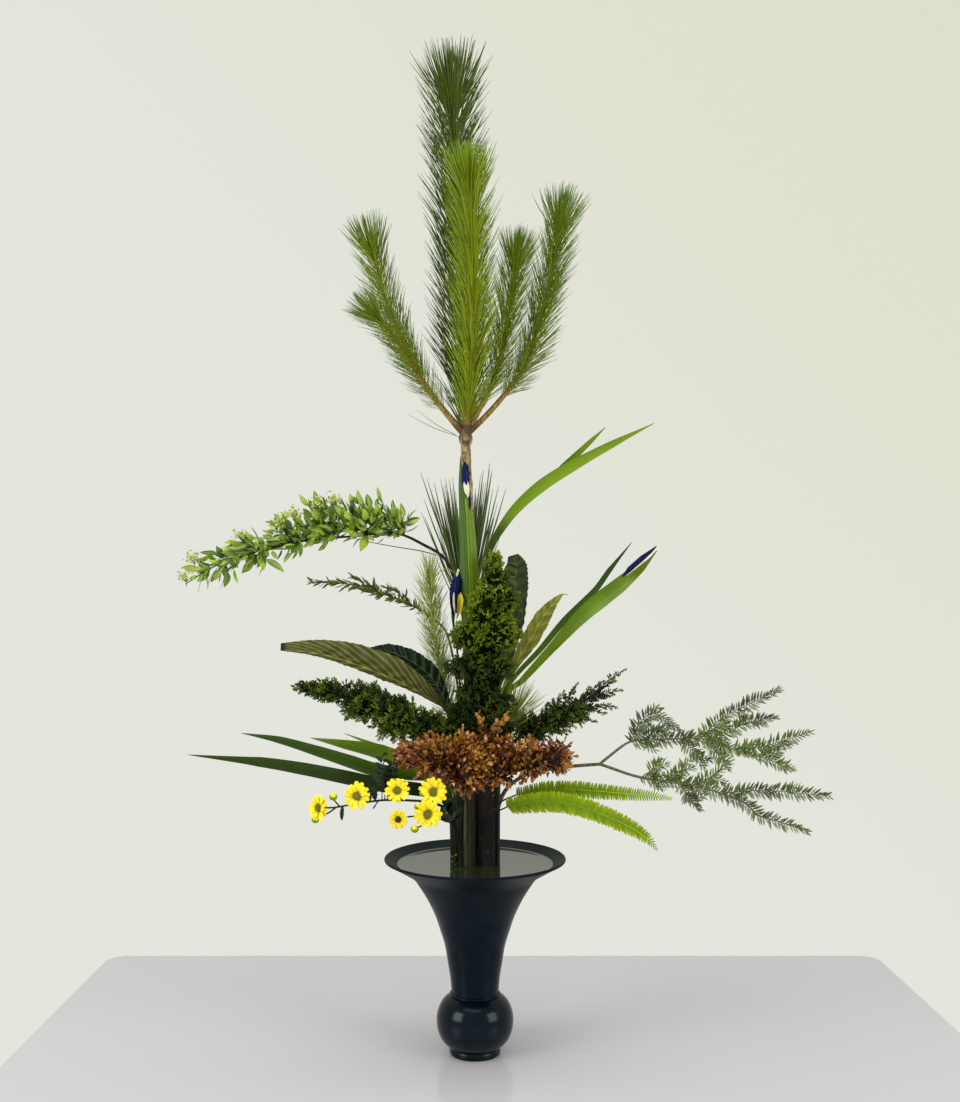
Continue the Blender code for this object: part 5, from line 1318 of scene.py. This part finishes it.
streamFork = (16.2, -3, 38.6)
streamingBranch = {
    "limbs": {
        "stem": ([foot(2.7, 2.3), (2.8, 2.3, 30), (4, 2.1, 34.2), (7.2, 0.8, 36.8), (11.8, -1.5, 38), streamFork],
            [0.3, 0.3, 0.28, 0.26, 0.24, 0.22]),
        "lower": ([streamFork, (21.2, -5, 37.2), (28.4, -7.5, 36.4), (33.75, -9, 34.6), (35.2, -9.5, 33.2),
            (37.9, -10, 32.4), (40.8, -11, 31.5)], [0.2, 0.18, 0.15, 0.12, 0.1, 0.08, 0.04]),
        "upper": ([streamFork, (18.8, -3.5, 40.8), (20.3, -4, 41.7), (24.6, -4.4, 42), (28.9, -5, 42.2),
            (31.3, -5.5, 41.4), (36.3, -6, 39.9)], [0.19, 0.17, 0.15, 0.13, 0.12, 0.1, 0.05]),
    },
    "sprays": [
        [(20.2, -4, 41.7), (21.2, -4, 44), (23.3, -4, 45.3), (26.3, -4, 43.2)],
        [(21.6, -4.2, 41.8), (23, -4.6, 43), (25, -4.6, 43.6)],
        [(28.9, -5, 42.2), (31.6, -5.2, 44.8), (34.6, -5.5, 46.4), (38.7, -6, 48.5)],
        [(30.5, -5.3, 41.9), (34.6, -5.7, 44.2), (38.2, -6, 45)],
        [(33.2, -5.6, 40.9), (36.4, -6, 41.2), (39.5, -6.5, 42.2), (42.4, -7, 43.2)],
        [(36.2, -6, 40), (38, -6.2, 39.4), (39.6, -6.3, 38.4)],
        [(29.5, -5.1, 42.1), (31.2, -5.2, 40), (32.4, -5.5, 38.5)],
        [(26.6, -4.7, 42.1), (28.2, -5.2, 40.2), (29.2, -5.6, 38.8)],
        [(31, -8.3, 35.7), (36, -9.6, 36.3), (40, -10, 36), (43.6, -10.5, 35.8)],
        [(22.4, -5.5, 37), (22.6, -5.8, 38.4), (23.4, -6, 39.4)],
        [(24.4, -6, 36.9), (26, -6.2, 38.2), (27.6, -6.4, 38.6)],
        [(27.6, -7.2, 36.5), (29.6, -7.5, 37.6), (31.2, -7.6, 38.8)],
        [(26, -6.7, 36.7), (27.2, -7, 35), (28.2, -7.4, 33.7)],
    ],
}


def makeStreamingBranch():
    form = Form(greyTwig)
    for points, radii in streamingBranch["limbs"].values():
        form.tube(points, radii, steps=6, swell=barkSwell(0.08, 1.4))
    chance = random.Random(90)
    routes = []
    for spray in streamingBranch["sprays"]:
        form.tube(spray, [0.08] + [0.06] * (len(spray) - 2) + [0.03], sides=5)
        count = len(spray)
        routes.append((spray, [1.25] * (count - 1) + [0.8], [60] * (count - 1) + [25]))
        line = cutRoute(spray, 0.15)
        for spot in line[:-5:max(2, len(line) // 4)]:  # short side twigs
            way = Vector((chance.uniform(0.3, 1.0), chance.uniform(-0.7, 0.7), chance.uniform(-1.0, 0.9)))
            twig = [spot, spot + way * 0.8, spot + way * 1.5 + Vector((0.5, 0, 0))]
            form.tube(twig, [0.05, 0.04, 0.02], sides=4, steps=2)
            routes.append((twig, [1.0, 1.1, 0.7], [55, 55, 30]))
    limbs = streamingBranch["limbs"]
    routes.append((limbs["upper"][0][2:], [1.2, 1.2, 1.2, 1.2, 0.9], [58, 58, 58, 58, 30]))
    routes.append((limbs["lower"][0][1:], [1.0, 1.2, 1.2, 1.2, 1.1, 0.8], [58, 58, 58, 58, 58, 28]))
    combed = grow("combed", routes, shapes["narrowLeaf"], streamFinish, 0.185, turn=180, turnJitter=18,
        leanJitter=10, sizeJitter=0.25, roll=90, rollJitter=40, seed=91)
    loose = grow("loose", routes, shapes["narrowLeaf"], streamFinish, 0.34, turnJitter=60, leanJitter=16,
        sizeJitter=0.3, rollJitter=60, seed=92)
    settle(joined("streaming_branch_foliage", combed, loose, form.item("stems")), "streaming_branch",
        "streaming_branch")


makeJuniper()
makeBoxwood()
makeSpirea()
makeDarkSprig()
makeStreamingBranch()
print("foliage made")


# heads: centre, direction and radius; rows of petals: how many, reach, how far they lean out, half width
mums = {
    "heads": [
        ((-18.9, -13, 34.7), (-0.8, -0.9, 0.1), 1.65), ((-14.4, -12.2, 36), (-0.1, -1, 0.25), 1.75),
        ((-9.6, -11, 36.5), (0, -1, 0.3), 1.6), ((-5.2, -10.4, 36.2), (0.1, -1, 0.2), 1.8),
        ((-5.8, -12.2, 33.8), (0.1, -1, 0.05), 1.75), ((-9.4, -12, 33.2), (-0.1, -1, -0.1), 1.25),
    ],
    "rows": [(13, 1.0, 84, 0.17), (12, 0.9, 70, 0.16)], "discFlorets": 46,
}
mumDisc = discFinish("mumDisc", (156, 144, 14), (112, 112, 16))
mumBrownDisc = discFinish("mumBrownDisc", (92, 62, 14), (50, 32, 10))


def rayPetal(length, half):
    form = Form()
    form.leaf([(0, 0, 0.16), (0, -0.03, 0.4), (0, -0.02, 0.7), (0, 0.03, 0.94), (0, 0.05, 1)],
        [half * 0.45, half * 0.85, half, half * 0.78, half * 0.35], (1, 0, 0), 0.03, steps=2, columns=4,
        lift=lambda t, u: 0.22 * u * u)
    form.points = [p * length for p in form.points]
    return form


# Where the stem meets a head from behind
def headBack(number):
    centre, axis, radius = mums["heads"][number - 1]
    return Vector(centre) - Vector(axis).normalized() * (0.3 * radius)


def makeMums():
    for number, (centre, axis, radius) in enumerate(mums["heads"]):
        chance = random.Random(100 + number)
        form = Form(petal, mumBrownDisc if number == 5 else mumDisc, stalkFinish)
        axis = Vector(axis).normalized()
        home = Matrix.Translation(centre) @ upwards.rotation_difference(axis).to_matrix().to_4x4()
        for row, (count, reach, lean, half) in enumerate(mums["rows"]):
            for k in range(count):
                angle = math.tau * (k + chance.uniform(-0.18, 0.18) + 0.5 * row) / count
                tilt = Matrix.Rotation(math.radians(-lean + chance.uniform(-9, 9)), 4, "X")
                turn = Matrix.Rotation(angle, 4, "Z")
                one = rayPetal(radius * reach * chance.uniform(0.9, 1.05), half)
                form.add(one, home @ Matrix.Translation((0, 0, 0.02)) @ turn @ tilt, chance.random())
        form.look = 1
        form.ball(home @ Vector((0, 0, 0.08 * radius)), [0.33 * radius, 0.33 * radius, 0.16 * radius], 6, 14,
            turn=home.to_3x3())
        for k in range(mums["discFlorets"]):
            out = 0.3 * radius * math.sqrt((k + 0.5) / mums["discFlorets"])
            angle = k * goldenTurn
            low = Vector((out * math.cos(angle), out * math.sin(angle), 0.17 * radius - 0.28 * out * out / radius))
            high = low + Vector((low.x * 0.3, low.y * 0.3, 0.09 * radius))
            form.tube([home @ low, home @ low.lerp(high, 0.6), home @ high],
                [0.028 * radius, 0.034 * radius, 0.015 * radius], sides=4, steps=1)
        form.look = 2
        form.ball(home @ Vector((0, 0, -0.1 * radius)), [0.26 * radius, 0.26 * radius, 0.2 * radius], 5, 12,
            turn=home.to_3x3(), tint=0.2)
        name = f"chrysanthemum_{number + 1}"
        settle(form.item(name + "_head"), "chrysanthemum", name)


mumStems = {
    "upper": {
        "stem": ([foot(-2.5, -1.5), (-2.5, -1.6, 28.5), (-3.2, -3.6, 32.4), (-6, -6.6, 34.3), (-11.2, -9.2, 35),
            (-14.5, -10.6, 34.8), (-17.2, -12.1, 34.6), headBack(1)],
            [0.2, 0.2, 0.19, 0.16, 0.14, 0.12, 0.11, 0.11]),
        "sides": [([(-13.8, -10.3, 34.85), (-14.3, -11, 35.4), headBack(2)], [0.1, 0.1, 0.09]),
            ([(-9, -8.2, 34.75), (-9.5, -9.4, 35.5), headBack(3)], [0.1, 0.1, 0.09]),
            ([(-4.8, -5.4, 33.7), (-5.2, -8.2, 35), headBack(4)], [0.1, 0.1, 0.09]),
            ([(-16.6, -11.8, 34.65), (-17, -12.4, 35.3), (-17.3, -12.6, 35.7)], [0.1, 0.1, 0.09]),
            ([(-17, -12, 34.6), (-18, -12, 33.9), (-19.4, -12.1, 33.3)], [0.1, 0.1, 0.09])],
        "buds": [(-17.3, -12.6, 36), (-19.5, -12.4, 33.2), (-6.4, -10.6, 36.1)],
        "leaves": [((-13, -10, 35), (-13.6, -10.8, 36.6)), ((-12.4, -9.8, 35), (-12.8, -10.4, 36.9)),
            ((-12, -9.6, 35), (-12.6, -11.2, 34.2)), ((-16.4, -11.6, 34.7), (-16.2, -12.8, 33.1)),
            ((-10.4, -8.9, 35), (-10.8, -9.8, 36.6)), ((-3.6, -4, 32.8), (-3, -6.6, 33.6)),
            ((-4.4, -4.8, 33.4), (-3.8, -7.4, 32)), ((-3, -3.4, 32.2), (-3.6, -6.4, 34.6))],
        "shoots": [((-11.6, -9.3, 35), (-11.6, -9.4, 40.9)), ((-11, -9.1, 35), (-10.1, -9.2, 40.2)),
            ((-11.3, -9.2, 35), (-10.9, -9.5, 39.4))],
    },
    "lower": {
        "stem": ([foot(-1.9, -2.2), (-1.9, -2.3, 27.5), (-2.6, -4.4, 30.8), (-4, -8, 32.3), (-5.4, -10.6, 33.3),
            headBack(5)], [0.2, 0.2, 0.18, 0.15, 0.12, 0.11]),
        "sides": [([(-4.3, -8.6, 32.5), (-7.2, -10.4, 33.2), headBack(6)], [0.11, 0.1, 0.1]),
            ([(-5.2, -9.2, 32.6), (-6.3, -10.6, 32.2), (-7.2, -11.6, 32)], [0.09, 0.09, 0.09])],
        "buds": [(-7.4, -11.8, 31.9), (-7, -11.4, 34.6)],
        "leaves": [((-3.4, -6.2, 31.8), (-2.4, -8.2, 33)), ((-4.2, -8.2, 32.4), (-2.8, -9.8, 32.6)),
            ((-3, -5, 31.2), (-1.6, -6.6, 33.4))],
        "shoots": [],
    },
}


# A closed bud: a green cup with yellow ray tips showing
def bud(form, centre):
    form.look = 3
    form.ball(centre, (0.5, 0.5, 0.46), 8, 14, tint=0.9,
        swell=lambda w: 1 + 0.07 * math.sin(7 * math.atan2(w.y, w.x)))
    form.look = 1
    form.ball(centre + Vector((0.02, -0.17, 0.15)), (0.37, 0.38, 0.36), 6, 12,
        swell=lambda w: 1 + 0.08 * math.sin(9 * math.atan2(w.z, w.x)))
    form.look = 0


def smallLeaves(form, pairs):
    form.look = 2
    for number, (root, tip) in enumerate(pairs):
        root, tip = Vector(root), Vector(tip)
        length = (tip - root).length
        middle = root.lerp(tip, 0.5) + upwards * 0.12 * length
        form.leaf([root, root.lerp(middle, 0.5), middle, middle.lerp(tip, 0.6), tip],
            [0.06, 0.2 * length, 0.27 * length, 0.2 * length, 0.03], (0.5, -0.4, 0.8), 0.05, steps=3, columns=4,
            lift=keel(0.3), tint=number * 0.29 % 1, edge=toothed(6, 0.3))
    form.look = 0


def makeMumStems():
    for side, part in mumStems.items():
        form = Form(stalkFinish, petal, greyLeafFinish, fernFinish)
        for route, radii in [part["stem"], *part["sides"]]:
            form.tube(route, radii)
        for centre in part["buds"]:
            bud(form, Vector(centre))
        smallLeaves(form, part["leaves"])
        for start, end in part["shoots"]:
            start, end = Vector(start), Vector(end)
            form.tube([start, start.lerp(end, 0.5), end], [0.07, 0.06, 0.03], sides=5)
            pairs = []
            for k in range(9):
                spot = start.lerp(end, 0.24 + 0.08 * k)
                pairs.append((spot, spot + Vector(((-1) ** k * 0.8, -0.3, 0.9)) * (1.5 - 0.08 * k)))
            smallLeaves(form, pairs)
        settle(form.item(side + "_spray_stem"), "stalk", "chrysanthemum_stem_" + side)


# Pinnae stand in two close ranks along each frond
fernFronds = {
    "fern_upper": ([foot(2.2, -2.0), (2.25, -2.05, 30), (3, -2.4, 33.2), (5.5, -3.1, 34.7), (8.5, -3.6, 35.3),
        (11, -4, 35.5), (13.5, -4.5, 35.5), (16, -5, 35.4), (19.2, -5.6, 35.2), (22.3, -6, 35),
        (24.9, -6.5, 34.7)], [1.1, 1.35, 1.4, 1.4, 1.3, 1.1, 0.85, 0.4], 18.0),
    "fern_lower": ([foot(1.2, -2.3), (1.25, -2.4, 28.5), (2.2, -3.2, 31.9), (4.2, -4.3, 33.3), (8.3, -6, 34.2),
        (12, -7.5, 34.2), (15.6, -9, 33.3), (19.2, -10.5, 31.9), (21.3, -11.5, 30.6), (22.2, -12, 29.5)],
        [1.4, 1.8, 1.85, 1.75, 1.5, 1.0, 0.45], 22.0),
}


def makeFerns():
    for number, (name, (points, sizes, tilt)) in enumerate(fernFronds.items()):
        form = Form(fernFinish, stalkFinish)
        form.look = 1
        form.tube(points[:4], [0.15, 0.15, 0.13, 0.09])
        form.look = 0
        form.tube(points[3:], [0.07] * (len(points) - 4) + [0.03], tint=0.0)
        route = (points[3:], sizes, [78] * (len(sizes) - 1) + [40])
        pinnae = grow("pinnae", [route], shapes["pinna"], fernFinish, 0.145, turn=180, turnJitter=3, phase=tilt,
            leanJitter=4, sizeJitter=0.06, roll=90, rollJitter=12, seed=110 + number, steps=5)
        settle(joined(name + "_frond", pinnae, form.item("rachis")), "fern", name)


sprout = {
    "stem": ([(-2.7, -1.9, 24.9), (-2.9, -2, 25.8), (-2.8, -2.1, 26.9)], [0.12, 0.08, 0.04]), "leaves": 6,
}


def makeSprout():
    form = Form(stalkFinish, fernFinish)
    form.tube(*sprout["stem"])
    form.look = 1
    for k in range(sprout["leaves"]):
        angle = k * 2.4
        root = Vector((-2.75, -2.0, 25.2 + 0.25 * k))
        tip = root + Vector((math.cos(angle) * 0.5, math.sin(angle) * 0.5, 0.3))
        form.leaf([root, root.lerp(tip, 0.5), tip], [0.03, 0.13, 0.02], (0.4, -0.5, 0.7), 0.03, tint=0.9)
    settle(form.item("water_line_sprout"), "stalk")


makeMums()
makeMumStems()
makeFerns()
makeSprout()
print("flowers and ferns made")
for shape in shapes.values():
    bpy.data.objects.remove(shape)


stageSizes = {"left": -61.0, "right": 67.0, "front": -90.0, "back": 42.0, "corner": 3.0, "deep": 2.5}


def makeStage():
    s = stageSizes
    table = Finish("tableTop", **{"Roughness": 0.16, "Specular IOR Level": 0.5})
    table.paint("Base Color", table.mix(table.noise(2.0), (189, 187, 191), (195, 193, 195)))
    bend = s["corner"]
    left, right, front, back = s["left"] + bend, s["right"] - bend, s["front"] + bend, s["back"] - bend
    outline = []
    for x, y, angle in ((right, back, 0), (left, back, 90), (left, front, 180), (right, front, 270)):
        for a in arc(angle, 90):
            outline.append(Vector((x + bend * math.cos(a), y + bend * math.sin(a), 0)))
    form = Form(table)
    form.skin([[p - upwards * s["deep"] for p in outline], outline], [0, 1], [0.0] * len(outline))
    form.item("table_top")


# place, aim and width in metres, and watts
lamps = {
    "key": ((-2.1, -1.35, 1.2), (0, 0, 0.6), 1.25, 34.0),
    "fill": ((2.1, -1.35, 1.15), (0, 0, 0.6), 1.25, 24.0),
    "top": ((-0.2, -0.6, 3.1), (0, 0, 0.5), 2.2, 32.0),
}


def makeLight():
    world = bpy.data.worlds.new("studio")
    world.use_nodes = True
    bpy.context.scene.world = world
    world.node_tree.nodes.clear()
    board = Board(world.node_tree)
    seen = board.node("ShaderNodeLightPath", output="Is Camera Ray")
    mirrored = board.node("ShaderNodeLightPath", output="Is Glossy Ray")
    way = board.node("ShaderNodeTexCoord", output="Generated")
    high = board.node("ShaderNodeSeparateXYZ", {0: way}, output="Z")
    side = board.node("ShaderNodeSeparateXYZ", {0: way}, output="X")
    values = {0: (high + side).between(-0.1, 0.9), 6: colour(228, 229, 220), 7: colour(222, 223, 202)}
    paint = board.node("ShaderNodeMix", values, 2, data_type="RGBA")
    lit = board.node("ShaderNodeBackground", {"Color": (1.0, 0.99, 0.95, 1), "Strength": 0.74})
    dim = board.node("ShaderNodeBackground", {"Color": (0.98, 1.0, 0.9, 1), "Strength": 0.55})
    wall = board.node("ShaderNodeBackground", {"Color": paint, "Strength": 1.0})
    mixed = board.node("ShaderNodeMixShader", {0: mirrored, 1: lit, 2: dim})
    mixed = board.node("ShaderNodeMixShader", {0: seen, 1: mixed, 2: wall})
    board.node("ShaderNodeOutputWorld", {"Surface": mixed})
    for name, (spot, aim, size, power) in lamps.items():
        lamp = bpy.data.lights.new(name, "AREA")
        lamp.shape, lamp.size, lamp.energy = "SQUARE", size, power
        item = bpy.data.objects.new(name, lamp)
        item.location = spot
        item.rotation_euler = (Vector(aim) - Vector(spot)).to_track_quat("-Z", "Y").to_euler()
        bpy.context.scene.collection.objects.link(item)


# place in metres, lens in millimetres
viewer = {"place": (0, -1.59, 0.611), "lens": 39.2, "shift": (0.0045, 0.0363), "far": 30.0}


def makeCamera():
    camera = bpy.data.cameras.new("camera")
    camera.lens, camera.clip_end = viewer["lens"], viewer["far"]
    camera.shift_x, camera.shift_y = viewer["shift"]
    item = bpy.data.objects.new("camera", camera)
    item.location = viewer["place"]
    item.rotation_euler = (math.radians(90), 0, 0)
    bpy.context.scene.collection.objects.link(item)
    bpy.context.scene.camera = item


makeStage()
makeLight()
makeCamera()
bpy.context.scene.view_settings.view_transform = "Standard"
print("stage, light and camera made")
